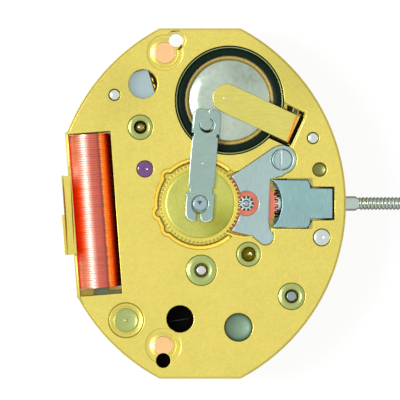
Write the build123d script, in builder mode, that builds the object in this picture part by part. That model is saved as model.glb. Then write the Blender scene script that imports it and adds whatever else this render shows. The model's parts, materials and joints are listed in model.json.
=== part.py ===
from build123d import *

import math
import os

# Quartz watch movement for two hands, oval, seen from its cell side.
# Millimetres. +X points along the winding stem, +Y to the top of the dial, +Z away from the dial.
# The origin is on the hand axis, in the plane that the dial lies on.

os.makedirs("parts", exist_ok=True)

# Clearances and shared small sizes
seat_gap = 0.04
running_gap = 0.02
pocket_gap = 0.06
edge_chamfer = 0.06
overrun = 1.0

# Plates
plate_width = 19.9
plate_height = 23.86
side_radius = 13.5
main_thickness = 2.15
bridge_thickness = 0.70
bridge_inset = 0.08
floor_height = 0.90

arc_offset = side_radius - plate_width / 2
bridge_top = main_thickness + bridge_thickness
half_plate = (plate_width / 2, plate_height / 2)

# Motor coil, lying in a slot along the left edge
coil_tilt = 4.2
coil_place_share = (-0.7176, -0.0427)
coil_axis_height = 1.45
winding_length = 10.47
winding_radius = 1.41
wire_diameter = 0.16
wire_lift = 0.02
coil_turns = 15
wire_sides = 6
wire_end_room = 0.32
wire_end_turn = 18.0
gap_steps_per_turn = 16
flange_thickness = 0.10
slot_side_gap = 0.03
slot_top_gap = 0.13
slot_bottom_gap = 0.50
rim_beside_slot = 0.22
rim_beyond_slot = 0.12
core_width = 1.00
core_thickness = 0.50
core_lug_width = 1.45
core_overlap = 1.10

coil_x = coil_place_share[0] * half_plate[0]
coil_y = coil_place_share[1] * half_plate[1]
slot_half_width = winding_radius + slot_side_gap
cut_offset = slot_half_width + rim_beside_slot
slot_high = winding_length / 2 + slot_top_gap
slot_low = -winding_length / 2 - slot_bottom_gap

# Guard that stands beside the coil
guard_width = 0.66
guard_low = -2.85
guard_high = 2.52
guard_top = 2.70
guard_view_room = 0.60
guard_ledge_width = 0.22
guard_ledge_height = 0.50
guard_ledge_top = -0.10

# Stator and rotor
stator_thickness = 0.30
stator_strip_inner = 1.62
stator_strip_outer = 2.60
stator_lug_reach = 0.25
stator_lug_length = 1.10
stator_eye_radius = 1.15
rotor_place = (-3.740205, 2.35021)
rotor_radius = 0.60
rotor_hole_radius = 0.76
rotor_thickness = 0.40
rotor_floor = 0.72
rotor_gap = 0.10
jewel_radius = 0.58
jewel_thickness = 0.42
jewel_cup_radius = 0.30
jewel_proud = 0.03
lower_jewel_radius = 0.36
lower_jewel_thickness = 0.22
pivot_radius = 0.07
arbor_radius = 0.12
pivot_depth = 0.12
shake = 0.06

# Teeth, shared by all wheels
addendum_share = 0.80
dedendum_share = 1.10
tooth_root_share = 0.26
tooth_tip_share = 0.12

# Train from the rotor to the centre: teeth and modules
rotor_teeth = 8
intermediate_teeth = 60
intermediate_pinion_teeth = 12
third_teeth = 48
third_pinion_teeth = 15
drive_teeth = 45
first_module = 0.045
second_module = 0.055
third_module = 0.060
third_bearing = 160.0
train_wheel_thickness = 0.15
rotor_pinion_base = 1.58
rotor_pinion_top = 2.08
intermediate_base = 1.80
intermediate_pinion_base = 1.28
third_base = 1.40
third_pinion_base = 1.00
drive_base = 1.08
train_room = 0.14

# Hand setting: crown, setting wheel, centre wheel
stem_height = 1.45
crown_teeth = 15
crown_pitch_radius = 0.78
crown_outer_radius = 0.88
crown_inner_radius = 0.62
setting_teeth = 40
setting_pinion_teeth = 10
centre_teeth = 60
centre_module = 0.09
setting_wheel_base = 2.08
setting_wheel_thickness = 0.20
setting_wheel_room = 0.12
setting_pinion_top = 2.79
setting_post_radius = 0.22
setting_post_root = 1.00
centre_wheel_base = 2.50
centre_wheel_thickness = 0.22
centre_web_thickness = 0.14
centre_web_radius = 2.36
centre_hub_radius = 0.52

# Centre arbor and motion work below the plate
arbor_shaft_radius = 0.30
arbor_neck_radius = 0.28
arbor_head_radius = 0.50
arbor_head_rise = 0.05
arbor_core_radius = 0.19
arbor_core_end = -1.10
head_notch_width = 0.22
head_notch_depth = 0.05
cannon_radius = 0.51
cannon_shoulder = -0.94
cannon_end = -1.35
minute_seat_radius = 0.35
cannon_teeth = 12
minute_teeth = 36
minute_pinion_teeth = 10
hour_teeth = 40
minute_module = 0.12
cannon_leaf_base = 0.30
cannon_leaf_top = 0.50
minute_wheel_base = 0.33
minute_wheel_thickness = 0.14
minute_pinion_base = 0.10
minute_stud_radius = 0.22
minute_bearing = -90.0
hour_pipe_radius = 0.68
hour_pipe_end = -0.90
hour_hub_radius = 0.86
hour_hub_end = -0.06
hour_wheel_base = 0.11
hour_wheel_thickness = 0.16
motion_depth = 0.55
motion_cover_thickness = 0.07
motion_cover_rim = 0.48
motion_screw_radius = 0.18
motion_screw_shank_radius = 0.10
motion_screw_length = 0.40
motion_screw_bearings = [30.0, 150.0, -90.0]

# Stem, sliding pinion, yoke and setting lever
stem_radius = 0.50
stem_bore_gap = 0.03
stem_pivot_radius = 0.22
stem_square = 0.44
stem_neck_radius = 0.25
stem_travel = 0.35
stem_groove_width = 0.30
stem_shoulder_width = 0.16
stem_collar_length = 0.80
stem_relief_radius = 0.38
stem_relief_length = 0.10
thread_radius = 0.45
stem_length_outside = 8.00
pinion_travel = 0.22
crown_tooth_depth = 0.20
crown_disc_width = 0.18
pinion_waist_radius = 0.55
pinion_waist_width = 0.21
pinion_groove_radius = 0.42
pinion_groove_width = 0.25
pinion_flange_radius = 0.50
pinion_flange_width = 0.25
pinion_pit_floor = 0.50
yoke_bar_width = 0.36
yoke_bar_length = 2.40
yoke_thickness = 0.30
yoke_bar_offset = 1.33
lever_thickness = 0.15
lever_hub_radius = 0.62
lever_end_radius = 0.26
lever_pin_radius = 0.10
lever_axle_radius = 0.35
lever_axle_foot = 0.45
lever_head_radius = 0.72
lever_slot_width = 0.09
lever_slot_depth = 0.06
lever_post_share = (0.5608, 0.2506)

# Steel covers let into the bridge
cover_thickness = 0.25
cover_sink = 0.05
cover_lobe_radius = 0.966
cover_foot_radius = 0.54
cover_bore_radius = 0.85
stem_plate_wide = 3.24
stem_plate_wide_end = 7.53
stem_plate_narrow = 2.08
stem_plate_end = 9.04
stem_plate_gap = 0.11
crown_window_end = 5.95

# Cell
cell_place_share = (0.2010, 0.5884)
cell_radius = 3.40
cell_height = 2.10
cell_floor = 0.45
bay_radius = 3.72
can_rim_height = 1.95
can_rim_inner = 3.08
can_corner = 0.15
cap_top_radius = 2.62
cap_base_radius = 2.92
cap_shoulder = 0.16
cap_skirt_height = 1.40
gasket_radius = 3.06
gasket_top = 1.95
ring_lip_inner = 3.02
ring_lip_base = 1.97
ring_lip_thickness = 0.10

# Contacts and centre strap
contact_thickness = 0.15
arm_bearing = -25.0
arm_tip_radius = 0.97
arm_tip_offset = (-0.17, 0.14)
arm_foot_gap = 0.207
arm_foot_length = 0.90
arm_foot_room = 0.50
arm_dimple_radius = 0.16
arm_drop = 0.02
pocket_beyond_arm = 0.27
pocket_above_arm = 0.45
pocket_below_arm = 0.28
block_height = 0.60
strap_tilt = -4.5
strap_thickness = 0.15
strap_width = 1.77
strap_foot_width = 1.91
strap_neck_width = 1.54
strap_foot_low = -1.22
strap_foot_high = 0.72
strap_neck_end = 1.12
strap_waist_low_gap = 2.469612
strap_waist_high_gap = 2.259612
strap_end_gap = 0.599612
strap_corner = 0.42
strap_fork_width = 0.26
strap_window_radius = 0.50
strap_window_aside = 0.06
strap_window_gap = 1.689612
strap_tongue_radius = 0.43
strap_tongue_shift = (-0.05, 0.09)
strap_hole_gap = 0.05
positive_plate_width = 1.70
positive_plate_length = 1.90
positive_finger_width = 0.60
positive_height = 1.95
positive_tilt = 16.0
positive_edge_share = 0.60

# Electronics
board_thickness = 0.15
board_length = 5.20
board_depth = 3.10
board_place_share = (-0.1356, -0.6280)
chip_length = 2.50
chip_depth = 2.70
chip_height = 0.95
chip_place_share = (-0.1367, -0.6412)
crystal_radius = 0.95
crystal_length = 5.60
crystal_floor = 0.12
crystal_bearing = 80.0
crystal_place_share = (0.2765, -0.6370)
crystal_cap_radius = 0.86
crystal_cap_thickness = 0.30
crystal_lead_radius = 0.10
crystal_lead_length = 0.30
crystal_lead_gap = 0.70

# Bushes, tubes, pins and holes, as places shared out over the half plate
tube_place_shares = [(-0.4080, 0.4350), (0.0090, -0.3806), (0.3317, -0.2892), (0.6261, -0.5289)]
tube_radii = [0.857, 1.054, 0.843, 0.925]
tube_bore_radii = [0.42, 0.46, 0.48, 0.44]
tube_pin_radii = [0.28, 0.34, 0.30, 0.35]
tube_shank_radius = 0.60
tube_head_depth = 0.45
tube_foot = 0.80
tube_pin_sink = 0.22
tube_proud = 0.04
steady_place_shares = [(-0.5849, 0.6194), (0.7719, 0.3730)]
steady_radius = 0.41
steady_foot = 1.20
stop_place_share = (0.8322, -0.1936)
stop_radius = 0.605
stop_foot = 1.60
stop_dimple_radius = 0.12
blind_place_share = (0.8171, 0.1936)
blind_radius = 0.49
blind_depth = 0.55
pin_proud = 0.03
grip_place_shares = [(-0.2412, 0.8592), (-0.2513, -0.8122)]
grip_radii = [0.714, 0.650]
grip_thickness = 0.30
foot_hole_shares = [(-0.1658, 0.9304), (-0.2513, -0.8952)]
foot_hole_radius = 0.50
foot_plug_radius = 0.66
foot_plug_base = 1.55
dish_radius = 1.217
dish_depth = 0.14
foot_dish_radius = 0.66
bush_place_share = (-0.5055, -0.6655)
bush_radius = 0.823
bush_foot = 1.70
bush_dimple_radius = 0.10
view_hole_shares = [(-0.3889, 0.6815), (-0.1367, -0.6580), (0.2633, -0.7058)]
view_hole_radii = [1.00, 0.93, 0.972]

# Wheel recess in the bridge: lobes as shares of its main radius
recess_radius = 3.13
recess_floor = 2.40
recess_lobe_radius = 0.52
recess_lobe_shares = [(-0.697, 0.585), (-0.884, -0.204), (-0.693, -0.551)]

# Corners of the keyless cover, as shares of the distance from hand axis to setting post
cover_corner_shares = [
    (0.700, 0.595),
    (1.587, 1.200),
    (1.943, 0.724),
    (1.771, 0.594),
    (1.515, 0.533),
    (1.490, 0.117),
    (1.480, -0.380),
    (1.502, -0.550),
    (1.580, -0.640),
    (1.240, -0.800),
    (1.140, -0.705),
    (0.700, -0.590),
]
cover_foot_share = (1.413, -0.720)


# Places worked out from the sizes above


def on_plate(share):
    return (share[0] * half_plate[0], share[1] * half_plate[1])


def along(start, bearing, distance):
    angle = math.radians(bearing)
    return (start[0] + distance * math.cos(angle), start[1] + distance * math.sin(angle))


def distance_between(first, second):
    return math.hypot(second[0] - first[0], second[1] - first[1])


def bearing_to(first, second):
    return math.degrees(math.atan2(second[1] - first[1], second[0] - first[0]))


def mesh_distance(teeth_a, teeth_b, module):
    return (teeth_a + teeth_b) * module / 2


def meeting_point(first, reach_first, second, reach_second):
    """The point, on the right of the line from first to second, at these two reaches."""
    span = distance_between(first, second)
    forward = (reach_first**2 - reach_second**2 + span**2) / (2 * span)
    aside = math.sqrt(reach_first**2 - forward**2)
    foot = along(first, bearing_to(first, second), forward)
    return along(foot, bearing_to(first, second) + 90, aside)


def mesh_phase(centre_a, phase_a, teeth_a, centre_b, teeth_b):
    """Angle of a tooth of wheel b that puts it in mesh with wheel a."""
    line = bearing_to(centre_a, centre_b)
    return line + 180 - (phase_a - line) * teeth_a / teeth_b + 180 / teeth_b


hand_axis = (0, 0)
rotor_axis = rotor_place
third_axis = along(hand_axis, third_bearing, mesh_distance(third_pinion_teeth, drive_teeth, third_module))
intermediate_axis = meeting_point(
    third_axis,
    mesh_distance(intermediate_pinion_teeth, third_teeth, second_module),
    rotor_axis,
    mesh_distance(rotor_teeth, intermediate_teeth, first_module),
)
setting_distance = mesh_distance(setting_pinion_teeth, centre_teeth, centre_module)
setting_axis = (setting_distance, 0)
setting_module = 2 * crown_pitch_radius / crown_teeth
setting_tip_radius = setting_module * (setting_teeth / 2 + addendum_share)
setting_room_radius = setting_tip_radius + setting_wheel_room
minute_distance = mesh_distance(cannon_teeth, minute_teeth, minute_module)
minute_axis = along(hand_axis, minute_bearing, minute_distance)
hour_module = 2 * minute_distance / (minute_pinion_teeth + hour_teeth)
cell_centre = on_plate(cell_place_share)
lever_axis = on_plate(lever_post_share)
strap_waist_low = cell_centre[1] - strap_waist_low_gap
strap_waist_high = cell_centre[1] - strap_waist_high_gap
strap_end = cell_centre[1] - strap_end_gap
strap_window_place = (strap_window_aside, cell_centre[1] - strap_window_gap)
arm_tip = (cell_centre[0] + arm_tip_offset[0], cell_centre[1] + arm_tip_offset[1])
arm_direction = along((0, 0), arm_bearing, 1)
arm_tip_back = -arm_tip_offset[0] * arm_direction[0] - arm_tip_offset[1] * arm_direction[1]
arm_length = arm_tip_back + bay_radius + arm_foot_gap + arm_foot_length

# Stations along the stem, from its inner end outwards
crown_tip = setting_axis[0] + setting_tip_radius - crown_tooth_depth + running_gap
crown_back = crown_tip + crown_tooth_depth
waist_start = crown_back + crown_disc_width
groove_start = waist_start + pinion_waist_width
flange_start = groove_start + pinion_groove_width
pinion_end = flange_start + pinion_flange_width
shoulder_start = pinion_end + stem_travel + pinion_travel + seat_gap
neck_start = shoulder_start + stem_shoulder_width
neck_end = neck_start + stem_groove_width
plate_edge = plate_width / 2
pit_end = pinion_end + pinion_travel + pocket_gap
bore_start = neck_end + seat_gap * 2
pivot_reach = 0.60
block_face = crown_tip - pocket_gap * 2
pivot_start = block_face - pivot_reach
lever_pin = ((neck_start + neck_end) / 2, lever_pin_radius)
lever_level = stem_height + stem_radius + running_gap
cover_base = bridge_top - cover_sink - cover_thickness
strap_base = bridge_top
arm_base = bridge_top - arm_drop - contact_thickness
cell_top = cell_floor + cell_height


def coil_place(across, lengthways):
    """A place beside the coil: across it from its axis, and lengthways from its middle."""
    angle = math.radians(coil_tilt)
    x = coil_x + across * math.cos(angle) - lengthways * math.sin(angle)
    y = coil_y + across * math.sin(angle) + lengthways * math.cos(angle)
    return Location((x, y, 0), (0, 0, coil_tilt))


def beside_coil(point):
    """Across and lengthways distances from the coil's middle to a point of the plate."""
    angle = math.radians(coil_tilt)
    dx, dy = point[0] - coil_x, point[1] - coil_y
    return (dx * math.cos(angle) + dy * math.sin(angle), dy * math.cos(angle) - dx * math.sin(angle))


def coil_box(left, right, low, high):
    """A rectangle in the open sketch, given by its sides in the coil's own directions."""
    with Locations(coil_place((left + right) / 2, (low + high) / 2)):
        Rectangle(right - left, high - low)


def plate_outline(inset):
    """The oval with two flats, cut off straight beside the coil."""
    with BuildSketch() as face:
        with Locations((-arc_offset, 0)):
            Circle(side_radius - inset)
        with Locations((arc_offset, 0)):
            Circle(side_radius - inset, mode=Mode.INTERSECT)
        Rectangle(plate_width, plate_height - 2 * inset, mode=Mode.INTERSECT)
        with Locations(coil_place(inset - cut_offset - plate_width / 2, 0)):
            Rectangle(plate_width, 2 * plate_height, mode=Mode.SUBTRACT)
        rim = rim_beyond_slot - inset
        coil_box(inset - cut_offset, slot_half_width + rim, slot_low - rim, slot_high + rim)
    return face.sketch


def wheel_outline(teeth, module, centre, phase):
    """A toothed wheel's outline, with a tooth at the phase angle."""
    root = module * (teeth / 2 - dedendum_share)
    tip = module * (teeth / 2 + addendum_share)
    pitch_angle = 360 / teeth
    points = []
    for tooth in range(teeth):
        middle = phase + tooth * pitch_angle
        points.append(along(centre, middle - tooth_root_share * pitch_angle, root))
        points.append(along(centre, middle - tooth_tip_share * pitch_angle, tip))
        points.append(along(centre, middle + tooth_tip_share * pitch_angle, tip))
        points.append(along(centre, middle + tooth_root_share * pitch_angle, root))
    with BuildSketch() as face:
        with BuildLine():
            Polyline(*points, close=True)
        make_face()
    return face.sketch


def hull_of(circles):
    """The rubber-band outline around circles given as (place, radius)."""
    with BuildSketch() as face:
        for place, radius in circles:
            with Locations(place):
                Circle(radius)
        make_hull()
    return face.sketch


def coil_slot_outline(extra):
    with BuildSketch() as face:
        coil_box(-slot_half_width - extra, slot_half_width + extra, slot_low - extra, slot_high + extra)
    return face.sketch


def winding_bay_outline():
    """The part of the coil's slot that goes right through, under the winding alone."""
    with BuildSketch() as face:
        half_bay = winding_length / 2 + slot_side_gap
        coil_box(-slot_half_width, slot_half_width, -half_bay, half_bay)
    return face.sketch


def stator_outline(extra):
    """Strip beside the coil, a lug under each end of the core, and an eye round the rotor."""
    eye_across, eye_along = beside_coil(rotor_axis)
    with BuildSketch() as face:
        inner, outer = stator_strip_inner - extra, stator_strip_outer + extra
        low, high = slot_low - stator_lug_length, slot_high + stator_lug_length
        coil_box(inner, outer, low - extra, high + extra)
        coil_box(-stator_lug_reach - extra, outer, high - stator_lug_length - extra, high + extra)
        coil_box(-stator_lug_reach - extra, outer, low - extra, low + stator_lug_length + extra)
        eye_reach = stator_eye_radius + extra
        coil_box(inner, eye_across, eye_along - eye_reach, eye_along + eye_reach)
        with Locations(rotor_axis):
            Circle(stator_eye_radius + extra)
    return face.sketch


def core_outline(extra):
    with BuildSketch() as face:
        half, end = core_width / 2 + extra, core_overlap + extra
        coil_box(-half, half, slot_low - end, slot_high + end)
        coil_box(-half, core_lug_width + extra, slot_high - extra, slot_high + end)
        coil_box(-half, core_lug_width + extra, slot_low - end, slot_low + slot_bottom_gap / 2 + extra)
    return face.sketch


def lever_outline(extra):
    """The setting lever from its axle to its pin, lying over the stem."""
    return hull_of([(lever_axis, lever_hub_radius + extra), (lever_pin, lever_end_radius + extra)])


def lever_sweep():
    """The room that the lever needs between its two positions."""
    pushed = (lever_pin[0] - stem_travel, -lever_pin[1])
    room = lever_end_radius + pocket_gap
    return hull_of([(lever_axis, lever_hub_radius + pocket_gap), (lever_pin, room), (pushed, room)])


def cover_outline(extra):
    """The keyless cover's outline: a straight-sided body with a lobe at the lever and a foot."""
    with BuildSketch() as face:
        with BuildLine():
            corners = [(x * setting_distance, y * setting_distance) for x, y in cover_corner_shares]
            Polyline(*corners, close=True)
        make_face()
        with Locations(lever_axis):
            Circle(cover_lobe_radius)
        with Locations((cover_foot_share[0] * setting_distance, cover_foot_share[1] * setting_distance)):
            Circle(cover_foot_radius)
        offset(amount=extra)
    return face.sketch


def stem_plate_outline(extra):
    """The T-shaped plate over the stem, hollowed on the left round the setting wheel."""
    start = setting_axis[0]
    with BuildSketch() as face:
        with Locations(((start + stem_plate_wide_end) / 2, 0)):
            Rectangle(stem_plate_wide_end - start + 2 * extra, stem_plate_wide + 2 * extra)
        with Locations(((start + stem_plate_end) / 2, 0)):
            Rectangle(stem_plate_end - start + 2 * extra, stem_plate_narrow + 2 * extra)
        with Locations(setting_axis):
            Circle(setting_tip_radius + 2 * setting_wheel_room - extra, mode=Mode.SUBTRACT)
    return face.sketch


def arm_plane(height):
    """Plane of the negative contact: origin at its tip, x along the arm."""
    return Plane((arm_tip[0], arm_tip[1], height)).rotated((0, 0, arm_bearing))


def strap_plane(height):
    """Plane of the centre strap: origin on the hand axis, y along the strap."""
    return Plane((0, 0, height)).rotated((0, 0, strap_tilt))


def crystal_plane():
    """Plane square to the crystal can, at its middle, with z along the can."""
    x, y = on_plate(crystal_place_share)
    direction = along((0, 0), crystal_bearing, 1)
    level = crystal_floor + crystal_radius
    return Plane(origin=(x, y, level), x_dir=(0, 0, 1), z_dir=(direction[0], direction[1], 0))


def wheel_recess_outline():
    with BuildSketch() as face:
        Circle(recess_radius)
        for share in recess_lobe_shares:
            with Locations((share[0] * recess_radius, share[1] * recess_radius)):
                Circle(recess_lobe_radius)
    return face.sketch


def save(piece, name):
    piece.label = name
    export_step(piece, "parts/" + name + ".step")


# Main plate


def pocket(outline, floor):
    """Cuts an outline into the open part, from a floor upwards."""
    raised = Plane.XY.offset(floor) * outline
    extrude(raised, amount=bridge_top + overrun - floor, mode=Mode.SUBTRACT)


def round_cut(place, radius, low, high):
    """Cuts a round hole between two heights into the open part."""
    raised = Plane.XY.offset(low) * circle_outline(place, radius)
    extrude(raised, amount=high - low, mode=Mode.SUBTRACT)


def round_add(place, radius, low, high):
    """Adds a round post or disc between two heights to the open part."""
    raised = Plane.XY.offset(low) * circle_outline(place, radius)
    extrude(raised, amount=high - low)


def plate_add(outline, low, high):
    """Adds an outline between two heights to the open part."""
    extrude(Plane.XY.offset(low) * outline, amount=high - low)


def stem_round(radius, start, end, mode=Mode.ADD):
    """A round length on the stem's axis, between two stations, added or cut."""
    extrude(Plane.YZ.offset(start) * circle_outline((0, stem_height), radius), amount=end - start, mode=mode)


def box_outline(left, right, low, high):
    with BuildSketch() as face:
        with Locations(((left + right) / 2, (low + high) / 2)):
            Rectangle(right - left, high - low)
    return face.sketch


def circle_outline(place, radius):
    with BuildSketch() as face:
        with Locations(place):
            Circle(radius)
    return face.sketch


def board_outline(extra):
    with BuildSketch() as face:
        with Locations(on_plate(board_place_share)):
            RectangleRounded(board_length + 2 * extra, board_depth + 2 * extra, foot_hole_radius)
    return face.sketch


def crystal_slot_outline():
    x, y = on_plate(crystal_place_share)
    tail = crystal_cap_thickness + crystal_lead_length
    middle = along((x, y), crystal_bearing, -tail / 2)
    with BuildSketch() as face:
        with Locations(Location((middle[0], middle[1], 0), (0, 0, crystal_bearing))):
            Rectangle(crystal_length + tail + 2 * pocket_gap, 2 * (crystal_radius + pocket_gap))
    return face.sketch


def positive_outline(extra):
    """Plate seen through the upper view hole, with a finger that reaches the cell."""
    place = on_plate(view_hole_shares[0])
    corner = along(place, positive_tilt, positive_edge_share * view_hole_radii[0])
    reach_x = cell_centre[0] - cell_radius - corner[0]
    with BuildSketch() as face:
        with Locations(Location((corner[0], corner[1], 0), (0, 0, positive_tilt))):
            left = -positive_plate_width - extra
            with Locations((left / 2 + extra / 2, 0)):
                Rectangle(positive_plate_width + 2 * extra, positive_plate_length + 2 * extra)
        with Locations((corner[0] + reach_x / 2 - positive_plate_width / 4, cell_centre[1])):
            Rectangle(reach_x + positive_plate_width / 2, positive_finger_width + 2 * extra)
    return face.sketch


train_pocket_outline = hull_of([
    (hand_axis, third_module * (drive_teeth / 2 + addendum_share) + train_room),
    (third_axis, second_module * (third_teeth / 2 + addendum_share) + train_room),
    (intermediate_axis, first_module * (intermediate_teeth / 2 + addendum_share) + train_room),
    (rotor_axis, rotor_hole_radius + train_room),
])
motion_recess_outline = hull_of([
    (hand_axis, hour_module * (hour_teeth / 2 + addendum_share) + pocket_gap),
    (minute_axis, minute_module * (minute_teeth / 2 + addendum_share) + pocket_gap),
])
motion_cover_outline = hull_of([
    (hand_axis, hour_module * (hour_teeth / 2 + addendum_share) + motion_cover_rim),
    (minute_axis, minute_module * (minute_teeth / 2 + addendum_share) + motion_cover_rim),
])

hand_rim_radius = hour_module * (hour_teeth / 2 + addendum_share) + (motion_cover_rim + pocket_gap) / 2
minute_rim_radius = minute_module * (minute_teeth / 2 + addendum_share) + (motion_cover_rim + pocket_gap) / 2
motion_screw_places = [
    along(hand_axis, motion_screw_bearings[0], hand_rim_radius),
    along(hand_axis, motion_screw_bearings[1], hand_rim_radius),
    along(minute_axis, motion_screw_bearings[2], minute_rim_radius),
]

with BuildPart() as main_plate:
    with BuildSketch():
        add(plate_outline(0))
    extrude(amount=main_thickness)
    with BuildSketch():
        coil_box(-slot_half_width - guard_width, -slot_half_width, guard_low, guard_high)
    extrude(amount=guard_top)
    guard_edges = main_plate.faces().sort_by(Axis.Z)[-1].edges().sort_by(Axis.X)[:1]
    chamfer(guard_edges, edge_chamfer)
    with BuildSketch():
        ledge_left = -slot_half_width - guard_width - guard_ledge_width
        coil_box(ledge_left, -slot_half_width, guard_low, guard_ledge_top)
    extrude(amount=guard_ledge_height)
    pocket(coil_slot_outline(0), floor_height)
    pocket(winding_bay_outline(), -overrun)
    pocket(stator_outline(pocket_gap), floor_height)
    pocket(core_outline(pocket_gap), floor_height + stator_thickness - running_gap)
    pocket(train_pocket_outline, floor_height)
    round_cut(rotor_axis, rotor_hole_radius + pocket_gap, rotor_floor, main_thickness)
    round_cut(rotor_axis, lower_jewel_radius, rotor_floor - lower_jewel_thickness, rotor_floor)
    for place in (third_axis, intermediate_axis):
        round_cut(place, pivot_radius + running_gap, floor_height - pivot_depth, floor_height)
    pocket(circle_outline(cell_centre, bay_radius), cell_floor)
    pocket(circle_outline(setting_axis, setting_room_radius), setting_wheel_base - running_gap * 2)
    round_cut(setting_axis, setting_post_radius, setting_post_root, main_thickness)
    crown_room = crown_outer_radius + pocket_gap
    pocket(box_outline(crown_tip - pocket_gap, pit_end, -crown_room, crown_room), pinion_pit_floor)
    channel_edge = yoke_bar_offset + yoke_bar_width / 2 + running_gap
    channel_end = crown_tip + yoke_bar_length + pinion_travel + pocket_gap
    yoke_floor = stem_height - yoke_thickness / 2 - running_gap
    pocket(box_outline(crown_tip - pocket_gap, channel_end, -channel_edge, -crown_room), yoke_floor)
    stem_room = stem_radius + pocket_gap
    pocket(box_outline(pit_end, bore_start, -stem_room, stem_room), stem_height - stem_room)
    stem_round(stem_radius + stem_bore_gap, bore_start - seat_gap, plate_edge + overrun, Mode.SUBTRACT)
    pivot_room = stem_pivot_radius + stem_bore_gap
    stem_round(pivot_room, pivot_start - stem_travel - pocket_gap, crown_tip, Mode.SUBTRACT)
    pocket(lever_sweep(), lever_level - running_gap)
    round_cut(lever_axis, lever_axle_radius + running_gap, lever_axle_foot, main_thickness)
    pocket(board_outline(pocket_gap), floor_height)
    pocket(crystal_slot_outline(), crystal_floor)
    pocket(positive_outline(pocket_gap), positive_height)
    with BuildSketch(arm_plane(floor_height)):
        reach = arm_foot_length + arm_foot_room + pocket_beyond_arm
        with Locations((arm_length + pocket_beyond_arm - reach / 2, 0)):
            Rectangle(reach, 2 * (arm_tip_radius + pocket_gap))
    extrude(amount=main_thickness, mode=Mode.SUBTRACT)
    with BuildSketch():
        add(motion_recess_outline)
    extrude(amount=motion_depth, mode=Mode.SUBTRACT)
    with BuildSketch():
        add(motion_cover_outline)
    extrude(amount=motion_cover_thickness, mode=Mode.SUBTRACT)
    round_add(minute_axis, minute_stud_radius, minute_pinion_base, motion_depth)
    for place in motion_screw_places:
        round_cut(place, motion_screw_shank_radius, 0, motion_screw_length)
    round_cut(hand_axis, arbor_shaft_radius + running_gap, 0, main_thickness)
    for share in tube_place_shares:
        round_cut(on_plate(share), tube_shank_radius, tube_foot, main_thickness)
    for share in steady_place_shares:
        round_cut(on_plate(share), steady_radius, steady_foot, main_thickness)
    round_cut(on_plate(stop_place_share), stop_radius, stop_foot, main_thickness)
    round_cut(on_plate(bush_place_share), bush_radius, bush_foot, main_thickness)
    for share in foot_hole_shares:
        round_cut(on_plate(share), foot_hole_radius, -overrun, main_thickness + overrun)
    round_cut(on_plate(foot_hole_shares[1]), foot_plug_radius + seat_gap, foot_plug_base, main_thickness)
save(main_plate.part, "main_plate")

# Bridge plate: the large gilt plate that the photograph looks down on

with BuildPart() as bridge_plate:
    with BuildSketch(Plane.XY.offset(main_thickness)):
        add(plate_outline(bridge_inset))
    extrude(amount=bridge_thickness)
    top_edges = bridge_plate.faces().sort_by(Axis.Z)[-1].edges()
    chamfer(top_edges, edge_chamfer)
    pocket(coil_slot_outline(0), main_thickness)
    with BuildSketch(Plane.XY.offset(main_thickness)):
        coil_box(-slot_half_width - plate_width, 0, guard_low - pocket_gap, guard_high + guard_view_room)
    extrude(amount=bridge_thickness, mode=Mode.SUBTRACT)
    pocket(circle_outline(cell_centre, bay_radius), main_thickness)
    with BuildSketch(arm_plane(main_thickness)):
        low, high = -arm_tip_radius - pocket_below_arm, arm_tip_radius + pocket_above_arm
        with Locations((arm_length / 2 + pocket_beyond_arm, (low + high) / 2)):
            Rectangle(arm_length, high - low)
    extrude(amount=bridge_thickness + overrun, mode=Mode.SUBTRACT)
    pocket(wheel_recess_outline(), recess_floor)
    pocket(circle_outline(setting_axis, setting_room_radius), main_thickness)
    round_cut(hand_axis, arbor_shaft_radius + running_gap, main_thickness, bridge_top)
    pocket(cover_outline(seat_gap), cover_base)
    pocket(stem_plate_outline(stem_plate_gap), cover_base)
    window_side = stem_plate_wide / 2 + stem_plate_gap / 2
    pocket(box_outline(setting_axis[0], crown_window_end, -window_side, window_side), main_thickness)
    round_cut(lever_axis, lever_axle_radius + running_gap, main_thickness, bridge_top)
    round_cut(rotor_axis, jewel_radius, bridge_top - jewel_thickness, bridge_top)
    round_cut(rotor_axis, jewel_cup_radius, main_thickness, bridge_top)
    for place in (third_axis, intermediate_axis):
        round_cut(place, pivot_radius + running_gap, main_thickness, main_thickness + pivot_depth)
    for share, radius in zip(tube_place_shares, tube_radii):
        round_cut(on_plate(share), tube_shank_radius, main_thickness, bridge_top)
        round_cut(on_plate(share), radius, bridge_top - tube_head_depth, bridge_top)
    for share in steady_place_shares:
        round_cut(on_plate(share), steady_radius, main_thickness, bridge_top)
    round_cut(on_plate(stop_place_share), stop_radius, main_thickness, bridge_top)
    round_cut(on_plate(blind_place_share), blind_radius, bridge_top - blind_depth, bridge_top)
    for share, radius in zip(view_hole_shares, view_hole_radii):
        round_cut(on_plate(share), radius, main_thickness, bridge_top)
    for share, radius in zip(grip_place_shares, grip_radii):
        round_cut(on_plate(share), dish_radius, bridge_top - dish_depth, bridge_top)
        round_cut(on_plate(share), radius, bridge_top - dish_depth - grip_thickness, bridge_top)
    for share in foot_hole_shares:
        round_cut(on_plate(share), foot_hole_radius, main_thickness, bridge_top)
    round_cut(on_plate(foot_hole_shares[0]), foot_dish_radius, bridge_top - dish_depth, bridge_top)
    round_cut(on_plate(bush_place_share), dish_radius, bridge_top - dish_depth, bridge_top)
    round_cut(on_plate(bush_place_share), bush_radius, main_thickness, bridge_top)
save(bridge_plate.part, "bridge_plate")


# Motor: core, winding, stator and rotor


def coil_plane(lengthways):
    """Plane square to the coil's axis, at a distance from its middle."""
    angle = math.radians(coil_tilt)
    x, y = coil_x - lengthways * math.sin(angle), coil_y + lengthways * math.cos(angle)
    across = (math.cos(angle), math.sin(angle), 0)
    return Plane(origin=(x, y, coil_axis_height), x_dir=across, z_dir=(-math.sin(angle), math.cos(angle), 0))


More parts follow.
